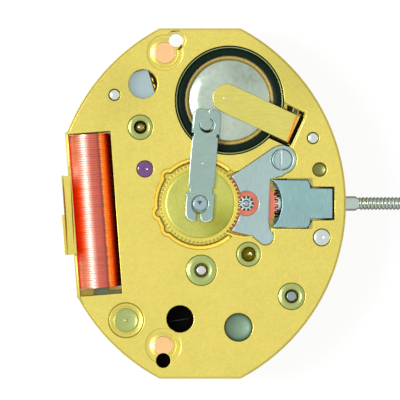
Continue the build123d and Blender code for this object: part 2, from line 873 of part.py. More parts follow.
wire_radius = wire_diameter / 2
helix_radius = winding_radius - wire_radius
drum_radius = helix_radius - wire_radius - wire_lift
helix_length = winding_length - 2 * (flange_thickness + wire_end_room + wire_diameter)
wire_pitch = helix_length / coil_turns


def wire_point(turn_angle, lengthways):
    """A point of the wire's path, by its angle round the coil and its place along it."""
    angle, turned = math.radians(coil_tilt), math.radians(turn_angle)
    across, up = helix_radius * math.cos(turned), helix_radius * math.sin(turned)
    x = coil_x + across * math.cos(angle) - lengthways * math.sin(angle)
    y = coil_y + across * math.sin(angle) + lengthways * math.cos(angle)
    return Vector(x, y, coil_axis_height + up)


def wire_heading(turn_angle, advance):
    """The wire's direction: round the coil, with this much advance along it for each turn."""
    angle, turned = math.radians(coil_tilt), math.radians(turn_angle)
    around = 2 * math.pi * helix_radius
    across, up = -around * math.sin(turned), around * math.cos(turned)
    x = across * math.cos(angle) - advance * math.sin(angle)
    y = across * math.sin(angle) + advance * math.cos(angle)
    return Vector(x, y, up).normalized()


def biarc(start, start_heading, end, end_heading):
    """Two arcs that leave the start and reach the end in the given directions."""
    chord = end - start
    spread = start_heading + end_heading
    square = 2 * (1 - start_heading.dot(end_heading))
    linear = 2 * chord.dot(spread)
    reach = (-linear + math.sqrt(linear**2 + 4 * square * chord.dot(chord))) / (2 * square)
    first_corner, second_corner = start + start_heading * reach, end - end_heading * reach
    middle = (first_corner + second_corner) / 2
    TangentArc(start, middle, tangent=start_heading)
    TangentArc(middle, end, tangent=second_corner - first_corner)


def wire_path():
    """The whole wire: a straight end, a bend, the turns, a bend and a straight end."""
    half = helix_length / 2
    axis = wire_heading(0, 0).cross(wire_point(0, 0) - wire_point(180, 0)).normalized() * -1
    last_angle = 360 * coil_turns
    first_bend, last_bend = wire_point(-wire_end_turn, -half - wire_end_room), wire_point(last_angle, half)
    far_bend = wire_point(last_angle + wire_end_turn, half + wire_end_room)
    with BuildLine() as path:
        Line(first_bend - axis * wire_diameter, first_bend)
        biarc(first_bend, axis, wire_point(0, -half), wire_heading(0, wire_pitch))
        for quarter in range(4 * coil_turns):
            here, there = 90 * quarter, 90 * (quarter + 1)
            low, high = -half + wire_pitch * quarter / 4, -half + wire_pitch * (quarter + 1) / 4
            start, end = wire_point(here, low), wire_point(there, high)
            biarc(start, wire_heading(here, wire_pitch), end, wire_heading(there, wire_pitch))
        biarc(last_bend, wire_heading(last_angle, wire_pitch), far_bend, axis)
        Line(far_bend, far_bend + axis * wire_diameter)
    return path.wire(), first_bend - axis * wire_diameter, axis


def least_wire_gap(path):
    """Least clear distance between stretches of the wire that lie half a turn or more apart."""
    steps = gap_steps_per_turn * coil_turns
    points = [path.position_at(step / steps) for step in range(steps + 1)]
    least = path.length
    for first in range(steps + 1):
        for second in range(first + gap_steps_per_turn // 2, steps + 1):
            least = min(least, (points[second] - points[first]).length)
    return least - wire_diameter


core_base = coil_axis_height - core_thickness / 2
with BuildPart() as coil_core:
    plate_add(core_outline(0), core_base, core_base + core_thickness)
save(coil_core.part, "coil_core")

with BuildPart() as coil_winding:
    for end in (-winding_length / 2, winding_length / 2 - flange_thickness):
        extrude(coil_plane(end) * circle_outline((0, 0), winding_radius), amount=flange_thickness)
    drum_end = coil_plane(-winding_length / 2)
    extrude(drum_end * circle_outline((0, 0), drum_radius), amount=winding_length)
    with BuildSketch(drum_end):
        Rectangle(core_width + 2 * running_gap, core_thickness + 2 * running_gap)
    extrude(amount=winding_length, mode=Mode.SUBTRACT)
save(coil_winding.part, "coil_winding")

wire_line, wire_start, wire_axis = wire_path()
with BuildPart() as coil_outer_layer:
    with BuildSketch(Plane(origin=wire_start, z_dir=wire_axis)) as wire_section:
        RegularPolygon(wire_radius, wire_sides)
    sweep(wire_section.sketch, path=wire_line)
save(coil_outer_layer.part, "coil_outer_layer")
print("least gap between turns of the wire", round(least_wire_gap(wire_line), 3))

with BuildPart() as stator:
    plate_add(stator_outline(0), floor_height, floor_height + stator_thickness)
    round_cut(rotor_axis, rotor_hole_radius, floor_height, main_thickness)
save(stator.part, "stator")

magnet_base = rotor_floor + rotor_gap
with BuildPart() as rotor_magnet:
    round_add(rotor_axis, rotor_radius, magnet_base, magnet_base + rotor_thickness)
    chamfer(rotor_magnet.faces().sort_by(Axis.Z)[-1].edges(), seat_gap)
    round_cut(rotor_axis, arbor_radius, 0, bridge_top)
save(rotor_magnet.part, "rotor_magnet")


# Train


def train_arbor(place, low, high, leaves, leaf_low, leaf_high):
    """A pinion with its arbor between two bearings, and a pivot at each end."""
    reach = pivot_depth - running_gap
    plate_add(leaves, leaf_low, leaf_high)
    round_add(place, arbor_radius, low + shake, high - shake)
    round_add(place, pivot_radius, low - reach, high + reach)


def bored_wheel(outline, place, bore, low, high):
    plate_add(outline, low, high)
    round_cut(place, bore, low, high)


third_phase = mesh_phase(hand_axis, 0, drive_teeth, third_axis, third_pinion_teeth)
middle_phase = mesh_phase(third_axis, third_phase, third_teeth, intermediate_axis, intermediate_pinion_teeth)
rotor_phase = mesh_phase(intermediate_axis, middle_phase, intermediate_teeth, rotor_axis, rotor_teeth)

with BuildPart() as rotor_pinion:
    leaves = wheel_outline(rotor_teeth, first_module, rotor_axis, rotor_phase)
    jewel_low = bridge_top - jewel_thickness
    train_arbor(rotor_axis, rotor_floor, jewel_low, leaves, rotor_pinion_base, rotor_pinion_top)
save(rotor_pinion.part, "rotor_pinion")

with BuildPart() as intermediate_wheel:
    teeth = wheel_outline(intermediate_teeth, first_module, intermediate_axis, middle_phase)
    wheel_top = intermediate_base + train_wheel_thickness
    bored_wheel(teeth, intermediate_axis, arbor_radius, intermediate_base, wheel_top)
save(intermediate_wheel.part, "intermediate_wheel")

with BuildPart() as intermediate_pinion:
    leaves = wheel_outline(intermediate_pinion_teeth, second_module, intermediate_axis, middle_phase)
    low, high = intermediate_pinion_base, intermediate_base
    train_arbor(intermediate_axis, floor_height, main_thickness, leaves, low, high)
save(intermediate_pinion.part, "intermediate_pinion")

with BuildPart() as third_wheel:
    teeth = wheel_outline(third_teeth, second_module, third_axis, third_phase)
    bored_wheel(teeth, third_axis, arbor_radius, third_base, third_base + train_wheel_thickness)
save(third_wheel.part, "third_wheel")

with BuildPart() as third_pinion:
    leaves = wheel_outline(third_pinion_teeth, third_module, third_axis, third_phase)
    train_arbor(third_axis, floor_height, main_thickness, leaves, third_pinion_base, third_base)
save(third_pinion.part, "third_pinion")

drive_hub_radius = arbor_shaft_radius + train_room
with BuildPart() as centre_drive_wheel:
    drive_outline = wheel_outline(drive_teeth, third_module, hand_axis, 0)
    plate_add(drive_outline, drive_base, drive_base + train_wheel_thickness)
    round_add(hand_axis, drive_hub_radius, floor_height + seat_gap, drive_base + 2 * train_wheel_thickness)
    round_cut(hand_axis, arbor_shaft_radius + running_gap, 0, main_thickness)
save(centre_drive_wheel.part, "centre_drive_wheel")

with BuildPart() as rotor_upper_jewel:
    round_add(rotor_axis, jewel_radius, bridge_top - jewel_thickness, bridge_top + jewel_proud)
    chamfer(rotor_upper_jewel.faces().sort_by(Axis.Z)[-1].edges(), edge_chamfer)
    pivot_room = pivot_depth + seat_gap
    round_cut(rotor_axis, pivot_radius + running_gap, jewel_low, jewel_low + pivot_room)
save(rotor_upper_jewel.part, "rotor_upper_jewel")

with BuildPart() as rotor_lower_jewel:
    round_add(rotor_axis, lower_jewel_radius, rotor_floor - lower_jewel_thickness, rotor_floor)
    round_cut(rotor_axis, pivot_radius + running_gap, 0, rotor_floor)
save(rotor_lower_jewel.part, "rotor_lower_jewel")

# Centre wheel, its arbor and the motion work

centre_wheel_top = centre_wheel_base + centre_wheel_thickness
with BuildPart() as centre_wheel:
    plate_add(wheel_outline(centre_teeth, centre_module, hand_axis, 0), centre_wheel_base, centre_wheel_top)
    round_cut(hand_axis, centre_web_radius, centre_wheel_base + centre_web_thickness, centre_wheel_top)
    round_add(hand_axis, centre_hub_radius, centre_wheel_base, centre_wheel_top)
    round_cut(hand_axis, arbor_neck_radius, centre_wheel_base, centre_wheel_top)
save(centre_wheel.part, "centre_wheel")

cannon_top = cannon_leaf_top
head_top = strap_base + strap_thickness + arbor_head_rise
with BuildPart() as centre_arbor:
    round_add(hand_axis, arbor_core_radius, arbor_core_end, cannon_top)
    round_add(hand_axis, arbor_shaft_radius, cannon_top, centre_wheel_base)
    round_add(hand_axis, arbor_neck_radius, centre_wheel_base, centre_wheel_top)
    round_add(hand_axis, arbor_head_radius, centre_wheel_top, head_top)
    chamfer(centre_arbor.faces().sort_by(Axis.Z)[-1].edges(), seat_gap)
    with BuildSketch(Plane.XY.offset(head_top - head_notch_depth)):
        with Locations((0, arbor_head_radius)):
            Rectangle(head_notch_width, arbor_head_radius)
    extrude(amount=overrun, mode=Mode.SUBTRACT)
save(centre_arbor.part, "centre_arbor")

with BuildPart() as cannon_pinion:
    plate_add(wheel_outline(cannon_teeth, minute_module, hand_axis, 0), cannon_leaf_base, cannon_leaf_top)
    round_add(hand_axis, cannon_radius, cannon_shoulder, cannon_top)
    round_add(hand_axis, minute_seat_radius, cannon_end, cannon_top)
    chamfer(cannon_pinion.faces().sort_by(Axis.Z)[0].edges(), seat_gap)
    round_cut(hand_axis, arbor_core_radius, arbor_core_end, cannon_top)
save(cannon_pinion.part, "cannon_pinion")

minute_phase = mesh_phase(hand_axis, 0, cannon_teeth, minute_axis, minute_teeth)
hour_phase = mesh_phase(minute_axis, minute_phase, minute_pinion_teeth, hand_axis, hour_teeth)
minute_wheel_top = minute_wheel_base + minute_wheel_thickness
minute_hub_radius = minute_stud_radius + train_room
with BuildPart() as minute_wheel:
    teeth = wheel_outline(minute_teeth, minute_module, minute_axis, minute_phase)
    bored_wheel(teeth, minute_axis, minute_hub_radius, minute_wheel_base, minute_wheel_top)
save(minute_wheel.part, "minute_wheel")

with BuildPart() as minute_pinion:
    leaves = wheel_outline(minute_pinion_teeth, hour_module, minute_axis, minute_phase)
    plate_add(leaves, minute_pinion_base, minute_wheel_base)
    round_add(minute_axis, minute_hub_radius, minute_pinion_base, minute_wheel_top)
    round_cut(minute_axis, minute_stud_radius + running_gap, minute_pinion_base, minute_wheel_top)
save(minute_pinion.part, "minute_pinion")

with BuildPart() as hour_wheel:
    teeth = wheel_outline(hour_teeth, hour_module, hand_axis, hour_phase)
    plate_add(teeth, hour_wheel_base, hour_wheel_base + hour_wheel_thickness)
    round_add(hand_axis, hour_pipe_radius, hour_pipe_end, hour_wheel_base)
    round_add(hand_axis, hour_hub_radius, hour_hub_end, hour_wheel_base)
    chamfer(hour_wheel.faces().sort_by(Axis.Z)[0].edges(), seat_gap)
    round_cut(hand_axis, cannon_radius + running_gap, hour_pipe_end, main_thickness)
save(hour_wheel.part, "hour_wheel")

with BuildPart() as motion_cover:
    plate_add(motion_cover_outline, 0, motion_cover_thickness)
    round_cut(hand_axis, hour_hub_radius + seat_gap, 0, motion_cover_thickness)
    for place in motion_screw_places:
        round_cut(place, motion_screw_radius, 0, motion_cover_thickness)
save(motion_cover.part, "motion_cover")

with BuildPart() as motion_cover_screws:
    for place in motion_screw_places:
        round_add(place, motion_screw_radius, 0, motion_cover_thickness)
        round_add(place, motion_screw_shank_radius, 0, motion_screw_length)
        with BuildSketch():
            with Locations(place):
                Rectangle(2 * motion_screw_radius, lever_slot_width / 2)
        extrude(amount=seat_gap, mode=Mode.SUBTRACT)
save(motion_cover_screws.part, "motion_cover_screws")

# Hand setting: setting wheel and pinion, sliding pinion, stem, yoke and lever

setting_wheel_top = setting_wheel_base + setting_wheel_thickness
setting_hub_radius = setting_post_radius + train_room
crown_gap_phase = 180 / setting_teeth
with BuildPart() as setting_wheel:
    teeth = wheel_outline(setting_teeth, setting_module, setting_axis, crown_gap_phase)
    bored_wheel(teeth, setting_axis, setting_hub_radius, setting_wheel_base, setting_wheel_top)
save(setting_wheel.part, "setting_wheel")

with BuildPart() as setting_pinion:
    leaf_phase = mesh_phase(hand_axis, 0, centre_teeth, setting_axis, setting_pinion_teeth)
    leaves = wheel_outline(setting_pinion_teeth, centre_module, setting_axis, leaf_phase)
    plate_add(leaves, setting_wheel_top, setting_pinion_top)
    round_add(setting_axis, setting_hub_radius, setting_wheel_base, setting_wheel_top)
    round_cut(setting_axis, setting_post_radius + running_gap, setting_wheel_base, setting_pinion_top)
save(setting_pinion.part, "setting_pinion")

with BuildPart() as setting_post:
    round_add(setting_axis, setting_post_radius, setting_post_root, setting_pinion_top + running_gap)
    chamfer(setting_post.faces().sort_by(Axis.Z)[-1].edges(), seat_gap)
save(setting_post.part, "setting_post")

crown_pitch = 2 * math.pi * crown_pitch_radius / crown_teeth
with BuildPart() as sliding_pinion:
    stem_round(crown_outer_radius, crown_back, waist_start)
    stem_round(pinion_waist_radius, waist_start, groove_start)
    stem_round(pinion_groove_radius, groove_start, flange_start)
    stem_round(pinion_flange_radius, flange_start, pinion_end)
    for tooth in range(crown_teeth):
        turned = 2 * math.pi * tooth / crown_teeth
        outward = (0, math.sin(turned), math.cos(turned))
        foot = (0, crown_inner_radius * outward[1], stem_height + crown_inner_radius * outward[2])
        with BuildSketch(Plane(origin=foot, x_dir=(1, 0, 0), z_dir=outward)):
            tip_half, root_half = tooth_tip_share * crown_pitch, tooth_root_share * crown_pitch
            with BuildLine():
                Polyline(
                    (crown_tip, -tip_half),
                    (crown_back, -root_half),
                    (crown_back, root_half),
                    (crown_tip, tip_half),
                    close=True,
                )
            make_face()
        extrude(amount=crown_outer_radius - crown_inner_radius)
    with BuildSketch(Plane.YZ.offset(crown_tip)):
        with Locations((0, stem_height)):
            Rectangle(stem_square + 2 * running_gap, stem_square + 2 * running_gap)
    extrude(amount=pinion_end - crown_tip, mode=Mode.SUBTRACT)
save(sliding_pinion.part, "sliding_pinion")

collar_end = plate_edge + stem_collar_length
relief_end = collar_end + stem_relief_length
thread_end = plate_edge + stem_length_outside
square_start = crown_tip + stem_travel - pocket_gap
with BuildPart() as stem:
    stem_round(stem_pivot_radius, pivot_start, square_start)
    with BuildSketch(Plane.YZ.offset(square_start)):
        with Locations((0, stem_height)):
            Rectangle(stem_square, stem_square)
    extrude(amount=shoulder_start - square_start)
    stem_round(stem_radius, shoulder_start, neck_start)
    stem_round(stem_neck_radius, neck_start, neck_end)
    stem_round(stem_radius, neck_end, collar_end)
    stem_round(stem_relief_radius, collar_end, relief_end)
    stem_round(thread_radius, relief_end, thread_end)
    chamfer(stem.faces().sort_by(Axis.X)[-1].edges(), edge_chamfer)
save(stem.part, "stem")

fork_clear = pinion_groove_radius + running_gap
fork_half = crown_outer_radius - running_gap
bar_low, bar_high = stem_height - yoke_thickness / 2, stem_height + yoke_thickness / 2
bar_outer, bar_inner = -yoke_bar_offset - yoke_bar_width / 2, -yoke_bar_offset + yoke_bar_width / 2
with BuildPart() as yoke:
    plate_add(box_outline(crown_tip, crown_tip + yoke_bar_length, bar_outer, bar_inner), bar_low, bar_high)
    fork_start, fork_end = groove_start + running_gap, flange_start - running_gap
    plate_add(box_outline(fork_start, fork_end, bar_inner, -fork_clear), bar_low, bar_high)
    plate_add(box_outline(fork_start, fork_end, -fork_half, fork_half), stem_height - fork_half, bar_high)
    stem_round(fork_clear, fork_start, fork_end, Mode.SUBTRACT)
    pocket(box_outline(fork_start, fork_end, -fork_clear, fork_clear), stem_height)
save(yoke.part, "yoke")

pin_low = stem_height + stem_neck_radius + seat_gap
with BuildPart() as setting_lever:
    plate_add(lever_outline(0), lever_level, lever_level + lever_thickness)
    round_cut(lever_axis, lever_axle_radius, lever_level, main_thickness)
    round_add(lever_pin, lever_pin_radius, pin_low, lever_level)
save(setting_lever.part, "setting_lever")

lever_head_base = cover_base + running_gap
lever_head_top = lever_head_base + cover_thickness
with BuildPart() as setting_lever_axle:
    round_add(lever_axis, lever_axle_radius, lever_axle_foot, lever_head_base)
    round_add(lever_axis, lever_head_radius, lever_head_base, lever_head_top)
    chamfer(setting_lever_axle.faces().sort_by(Axis.Z)[-1].edges(), edge_chamfer)
    with BuildSketch(Plane.XY.offset(lever_head_top - lever_slot_depth)):
        with Locations((lever_axis[0] - lever_slot_width, lever_axis[1])):
            Rectangle(lever_slot_width, 2 * lever_head_radius)
    extrude(amount=overrun, mode=Mode.SUBTRACT)
save(setting_lever_axle.part, "setting_lever_axle")

# Steel covers

cover_top = cover_base + cover_thickness
centre_clear = centre_module * (centre_teeth / 2 + addendum_share) + pocket_gap
with BuildPart() as keyless_cover:
    plate_add(cover_outline(0), cover_base, cover_top)
    round_cut(hand_axis, centre_clear, cover_base, cover_top)
    round_cut(setting_axis, cover_bore_radius, cover_base, cover_top)
    chamfer(keyless_cover.faces().sort_by(Axis.Z)[-1].edges(), running_gap)
    round_cut(lever_axis, lever_head_radius + pocket_gap, cover_base, cover_top)
save(keyless_cover.part, "keyless_cover")

with BuildPart() as stem_cover:
    plate_add(stem_plate_outline(0), cover_base, cover_top)
    chamfer(stem_cover.faces().sort_by(Axis.Z)[-1].edges(), seat_gap)
save(stem_cover.part, "stem_cover")

# Cell, its ring and its contacts

with BuildPart() as cell_can:
    round_add(cell_centre, cell_radius, cell_floor, cell_floor + can_rim_height)
    chamfer(cell_can.edges().filter_by(GeomType.CIRCLE), can_corner)
    round_cut(cell_centre, can_rim_inner, cell_floor + cap_skirt_height, bridge_top)
save(cell_can.part, "cell_can")

with BuildPart() as cell_gasket:
    round_add(cell_centre, gasket_radius, cell_floor + cap_skirt_height, cell_floor + gasket_top)
    round_cut(cell_centre, cap_base_radius, cell_floor, bridge_top)
save(cell_gasket.part, "cell_gasket")

with BuildPart() as cell_cap:
    shoulder_base = cell_top - cap_shoulder
    round_add(cell_centre, cap_base_radius, cell_floor + cap_skirt_height, shoulder_base)
    outline = Plane.XY.offset(shoulder_base) * circle_outline(cell_centre, cap_base_radius)
    slope = math.degrees(math.atan2(cap_base_radius - cap_top_radius, cap_shoulder))
    extrude(outline, amount=cap_shoulder, taper=slope)
save(cell_cap.part, "cell_cap")

ring_outer = bay_radius - seat_gap
ring_inner = cell_radius + pocket_gap
lip_base = cell_floor + ring_lip_base
with BuildPart() as cell_insulating_ring:
    round_add(cell_centre, ring_outer, cell_floor, lip_base + ring_lip_thickness)
    round_cut(cell_centre, ring_inner, cell_floor, lip_base)
    round_cut(cell_centre, ring_lip_inner, cell_floor, bridge_top)
    finger_side = positive_finger_width / 2 + pocket_gap
    low, high = cell_centre[1] - finger_side, cell_centre[1] + finger_side
    finger_window = box_outline(cell_centre[0] - bay_radius, cell_centre[0] - cell_radius, low, high)
    finger_top = positive_height + contact_thickness + pocket_gap
    extrude(
        Plane.XY.offset(positive_height - pocket_gap) * finger_window,
        amount=finger_top - positive_height + pocket_gap,
        mode=Mode.SUBTRACT,
    )
save(cell_insulating_ring.part, "cell_insulating_ring")

with BuildPart() as positive_contact:
    plate_add(positive_outline(0), positive_height, positive_height + contact_thickness)
save(positive_contact.part, "positive_contact")

arm_width = 2 * arm_tip_radius
block_top = floor_height + block_height
with BuildPart() as negative_contact:
    with BuildSketch(arm_plane(arm_base)):
        Circle(arm_tip_radius)
        with Locations((arm_length / 2, 0)):
            Rectangle(arm_length, arm_width)
    extrude(amount=contact_thickness)
    with BuildSketch(arm_plane(block_top)):
        with Locations((arm_length - contact_thickness / 2, 0)):
            Rectangle(contact_thickness, arm_width)
    extrude(amount=arm_base + contact_thickness - block_top)
    with BuildSketch(arm_plane(block_top)):
        with Locations((arm_length - arm_foot_length / 2, 0)):
            Rectangle(arm_foot_length, arm_width)
    extrude(amount=contact_thickness)
    round_add(arm_tip, arm_dimple_radius, cell_top, arm_base)
save(negative_contact.part, "negative_contact")

with BuildPart() as contact_block:
    with BuildSketch(arm_plane(floor_height)):
        with Locations((arm_length - arm_foot_length / 2, 0)):
            Rectangle(arm_foot_length, arm_width)
    extrude(amount=block_height)
save(contact_block.part, "contact_block")


def strap_piece(width, low, high):
    with Locations((0, (low + high) / 2)):
        Rectangle(width, high - low)


with BuildPart() as centre_strap:
    with BuildSketch(strap_plane(strap_base)) as strap_face:
        strap_piece(strap_foot_width, strap_foot_low, strap_foot_high)
        strap_piece(strap_neck_width, strap_foot_high, strap_neck_end)
        strap_piece(strap_width, strap_neck_end, strap_waist_low)
        strap_piece(strap_neck_width, strap_waist_low, strap_waist_high)
        strap_piece(strap_foot_width, strap_waist_high, strap_end)
        ends = strap_face.vertices().group_by(Axis.Y)
        fillet(ends[0] + ends[-1], strap_corner)
        Circle(arbor_head_radius + strap_hole_gap, mode=Mode.SUBTRACT)
        with Locations((-strap_hole_gap, strap_foot_low / 2)):
            Rectangle(strap_fork_width, -strap_foot_low, mode=Mode.SUBTRACT)
        with Locations(strap_window_place):
            Circle(strap_window_radius, mode=Mode.SUBTRACT)
            with Locations(strap_tongue_shift):
                Circle(strap_tongue_radius)
    extrude(amount=strap_thickness)
    round_cut(arm_tip, arm_tip_radius + pocket_gap, strap_base, head_top)
save(centre_strap.part, "centre_strap")

# Electronics

with BuildPart() as circuit_board:
    plate_add(board_outline(0), floor_height, floor_height + board_thickness)
save(circuit_board.part, "circuit_board")

board_top = floor_height + board_thickness
with BuildPart() as driver_chip:
    with BuildSketch(Plane.XY.offset(board_top)):
        with Locations(on_plate(chip_place_share)):
            Rectangle(chip_length, chip_depth)
    extrude(amount=chip_height)
    chamfer(driver_chip.faces().sort_by(Axis.Z)[-1].edges(), edge_chamfer)
save(driver_chip.part, "driver_chip")

with BuildPart() as crystal_can:
    with BuildSketch(crystal_plane().offset(-crystal_length / 2)):
        Circle(crystal_radius)
    extrude(amount=crystal_length)
    chamfer(crystal_can.edges().filter_by(GeomType.CIRCLE).sort_by(Axis.Y)[-1], edge_chamfer)
save(crystal_can.part, "crystal_can")

with BuildPart() as crystal_base:
    with BuildSketch(crystal_plane().offset(-crystal_length / 2 - crystal_cap_thickness)):
        Circle(crystal_cap_radius)
    extrude(amount=crystal_cap_thickness)
save(crystal_base.part, "crystal_base")

with BuildPart() as crystal_leads:
    lead_end = crystal_length / 2 + crystal_cap_thickness + crystal_lead_length
    with BuildSketch(crystal_plane().offset(-lead_end)):
        with GridLocations(0, crystal_lead_gap, 1, 2):
            Circle(crystal_lead_radius)
    extrude(amount=crystal_lead_length)
save(crystal_leads.part, "crystal_leads")

# Tubes, pins, discs and the bush

tube_places = [on_plate(share) for share in tube_place_shares]
tube_head_base = bridge_top - tube_head_depth
with BuildPart() as bridge_tubes:
    for place, radius, bore in zip(tube_places, tube_radii, tube_bore_radii):
        round_add(place, tube_shank_radius, tube_foot, tube_head_base)
        round_add(place, radius, tube_head_base, bridge_top + tube_proud)
        round_cut(place, bore, tube_foot, bridge_top + tube_proud)
save(bridge_tubes.part, "bridge_tubes")

with BuildPart() as tube_pins:
    for place, radius in zip(tube_places, tube_pin_radii):
        round_add(place, radius, tube_foot, bridge_top - tube_pin_sink)
    chamfer(tube_pins.faces().group_by(Axis.Z)[-1].edges(), edge_chamfer)
save(tube_pins.part, "tube_pins")

with BuildPart() as steady_pins:
    for share in steady_place_shares:
        round_add(on_plate(share), steady_radius, steady_foot, bridge_top + pin_proud)
    chamfer(steady_pins.faces().group_by(Axis.Z)[-1].edges(), seat_gap)
save(steady_pins.part, "steady_pins")

with BuildPart() as stop_pin:
    round_add(on_plate(stop_place_share), stop_radius, stop_foot, bridge_top + pin_proud)
    chamfer(stop_pin.faces().sort_by(Axis.Z)[-1].edges(), seat_gap)
    round_cut(on_plate(stop_place_share), stop_dimple_radius, bridge_top, bridge_top + overrun)
save(stop_pin.part, "stop_pin")

with BuildPart() as dial_grip_discs:
    for share, radius in zip(grip_place_shares, grip_radii):
        disc_base = bridge_top - dish_depth - grip_thickness
        round_add(on_plate(share), radius, disc_base, bridge_top - dish_depth + tube_proud)
    for share in foot_hole_shares:
        round_cut(on_plate(share), foot_hole_radius, 0, bridge_top)
save(dial_grip_discs.part, "dial_grip_discs")

with BuildPart() as adjusting_bush:
    round_add(on_plate(bush_place_share), bush_radius, bush_foot, bridge_top - tube_proud)
    chamfer(adjusting_bush.faces().sort_by(Axis.Z)[-1].edges(), edge_chamfer)
    top = bridge_top - tube_proud
    round_cut(on_plate(bush_place_share), bush_dimple_radius, top - dish_depth, top)
save(adjusting_bush.part, "adjusting_bush")

with BuildPart() as foot_hole_plug:
    round_add(on_plate(foot_hole_shares[1]), foot_plug_radius, foot_plug_base, main_thickness)
save(foot_hole_plug.part, "foot_hole_plug")
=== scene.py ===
import json
import math

import bmesh
import bpy
from mathutils import Matrix, Vector


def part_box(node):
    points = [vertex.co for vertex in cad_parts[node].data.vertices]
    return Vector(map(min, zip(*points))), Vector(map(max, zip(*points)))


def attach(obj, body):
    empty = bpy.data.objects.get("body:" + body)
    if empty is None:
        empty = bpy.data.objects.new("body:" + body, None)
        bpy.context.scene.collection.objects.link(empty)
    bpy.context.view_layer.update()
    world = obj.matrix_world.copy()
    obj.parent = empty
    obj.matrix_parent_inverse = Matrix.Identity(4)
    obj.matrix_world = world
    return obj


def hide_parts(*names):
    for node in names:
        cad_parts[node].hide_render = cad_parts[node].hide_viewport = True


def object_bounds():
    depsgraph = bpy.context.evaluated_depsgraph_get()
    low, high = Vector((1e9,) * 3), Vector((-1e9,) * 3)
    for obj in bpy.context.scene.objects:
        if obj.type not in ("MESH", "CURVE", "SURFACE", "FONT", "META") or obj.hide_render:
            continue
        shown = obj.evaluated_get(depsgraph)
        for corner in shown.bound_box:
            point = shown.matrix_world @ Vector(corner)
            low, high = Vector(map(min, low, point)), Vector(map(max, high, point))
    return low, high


# Looks of the quartz watch movement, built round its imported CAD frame.
# Everything is in metres in the CAD's own frame: +X along the stem, +Y to the top, +Z to the viewer.
# Profiles and marks are written in millimetres, and places on the photograph in its pixels.

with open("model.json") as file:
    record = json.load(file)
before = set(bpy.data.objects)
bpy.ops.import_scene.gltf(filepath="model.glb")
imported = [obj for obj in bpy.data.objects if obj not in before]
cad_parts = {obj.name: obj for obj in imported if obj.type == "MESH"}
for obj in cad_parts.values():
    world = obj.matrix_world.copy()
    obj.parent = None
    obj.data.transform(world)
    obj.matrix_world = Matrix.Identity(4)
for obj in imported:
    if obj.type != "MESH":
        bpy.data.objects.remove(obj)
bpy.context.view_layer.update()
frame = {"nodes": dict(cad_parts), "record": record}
cad = frame["nodes"]

MM = 0.001
PIXEL = 0.068 * MM
AXIS_PIXEL = (200.0, 203.5)
IMAGE_CENTRE = (200.0, 200.0)
IMAGE_WIDTH = 400.0
LEVEL_FACE = 0.9995
WELD = 0.0002 * MM
NEAR = 0.002 * MM
UP = Vector((0.0, 0.0, 1.0))
WHITE = (1.0, 1.0, 1.0, 1.0)


# Places and colours


def corners_of(node):
    """Lowest and highest corner of a node's box."""
    low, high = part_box(node)
    return Vector(low), Vector(high)


def levels_of(node):
    """Heights of a node's base and top in millimetres."""
    low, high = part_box(node)
    return low[2] / MM, high[2] / MM


def middle(box):
    """Centre of a box, seen from above."""
    low, high = box
    return ((low.x + high.x) / 2, (low.y + high.y) / 2)


def half_width(box):
    """Half of a box's breadth in millimetres."""
    low, high = box
    return (high.y - low.y) / 2 / MM


def on_photo(px, py):
    """Place on the movement of a pixel of the photograph."""
    return ((px - AXIS_PIXEL[0]) * PIXEL, (AXIS_PIXEL[1] - py) * PIXEL)


def linear(red, green, blue):
    """A colour given as screen values from 0 to 255, as Blender's linear values."""
    values = []
    for value in (red, green, blue):
        share = value / 255
        values.append(share / 12.92 if share <= 0.04045 else ((share + 0.055) / 1.055) ** 2.4)
    return (*values, 1.0)


def scaled(colour, factor, lift=0.0):
    """A linear colour made lighter or darker."""
    return (*(min(1.0, value * factor + lift) for value in colour[:3]), 1.0)


COIL_TILT = math.radians(4.2)


def coil_frame():
    """Matrix whose X runs across the coil, Y along it and Z up, in its middle."""
    low, high = corners_of("coil_winding")
    return Matrix.Translation((low + high) / 2) @ Matrix.Rotation(COIL_TILT, 4, "Z")


def coil_size():
    """Radius and length of the winding."""
    low, high = corners_of("coil_winding")
    outer = (high.z - low.z) / 2
    span = high.y - low.y
    return outer, (span - 2 * outer * math.sin(COIL_TILT)) / math.cos(COIL_TILT)


# Camera, straight above

LENS = 600.0
SENSOR = 36.0
CLIP_RANGE = 10


def add_camera():
    """A long lens straight above the plates, framed as the photograph is."""
    x, y = on_photo(*IMAGE_CENTRE)
    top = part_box("bridge_plate")[1][2]
    distance = IMAGE_WIDTH * PIXEL * LENS / SENSOR
    data = bpy.data.cameras.new("camera")
    data.lens = LENS
    data.sensor_width = SENSOR
    data.clip_start = distance / CLIP_RANGE
    data.clip_end = distance * CLIP_RANGE
    camera = bpy.data.objects.new("camera", data)
    camera.location = (x, y, top + distance)
    bpy.context.scene.collection.objects.link(camera)
    bpy.context.scene.camera = camera


# Node helpers

MIX_SHARE, MIX_FIRST, MIX_SECOND, MIX_COLOUR = 0, 6, 7, 2


def feed(tree, item, inputs):
    """Gives a node's inputs their values, or links other nodes' outputs to them."""
    for socket, value in inputs.items():
        if isinstance(value, bpy.types.NodeSocket):
            tree.links.new(value, item.inputs[socket])
        else:
            item.inputs[socket].default_value = value


def put(tree, kind, inputs=None, **settings):
    """Adds a shader node with its settings and inputs."""
    item = tree.nodes.new(kind)
    for name, value in settings.items():
        setattr(item, name, value)
    feed(tree, item, inputs or {})
    return item


def math_node(tree, operation, first, second):
    return put(tree, "ShaderNodeMath", {0: first, 1: second}, operation=operation).outputs[0]


def vector_node(tree, operation, first, second):
    return put(tree, "ShaderNodeVectorMath", {0: first, 1: second}, operation=operation)


def noise_node(tree, place, scale, detail):
    return put(tree, "ShaderNodeTexNoise", {"Vector": place, "Scale": scale, "Detail": detail}).outputs[0]


def object_place(tree):
    return put(tree, "ShaderNodeTexCoord").outputs["Object"]


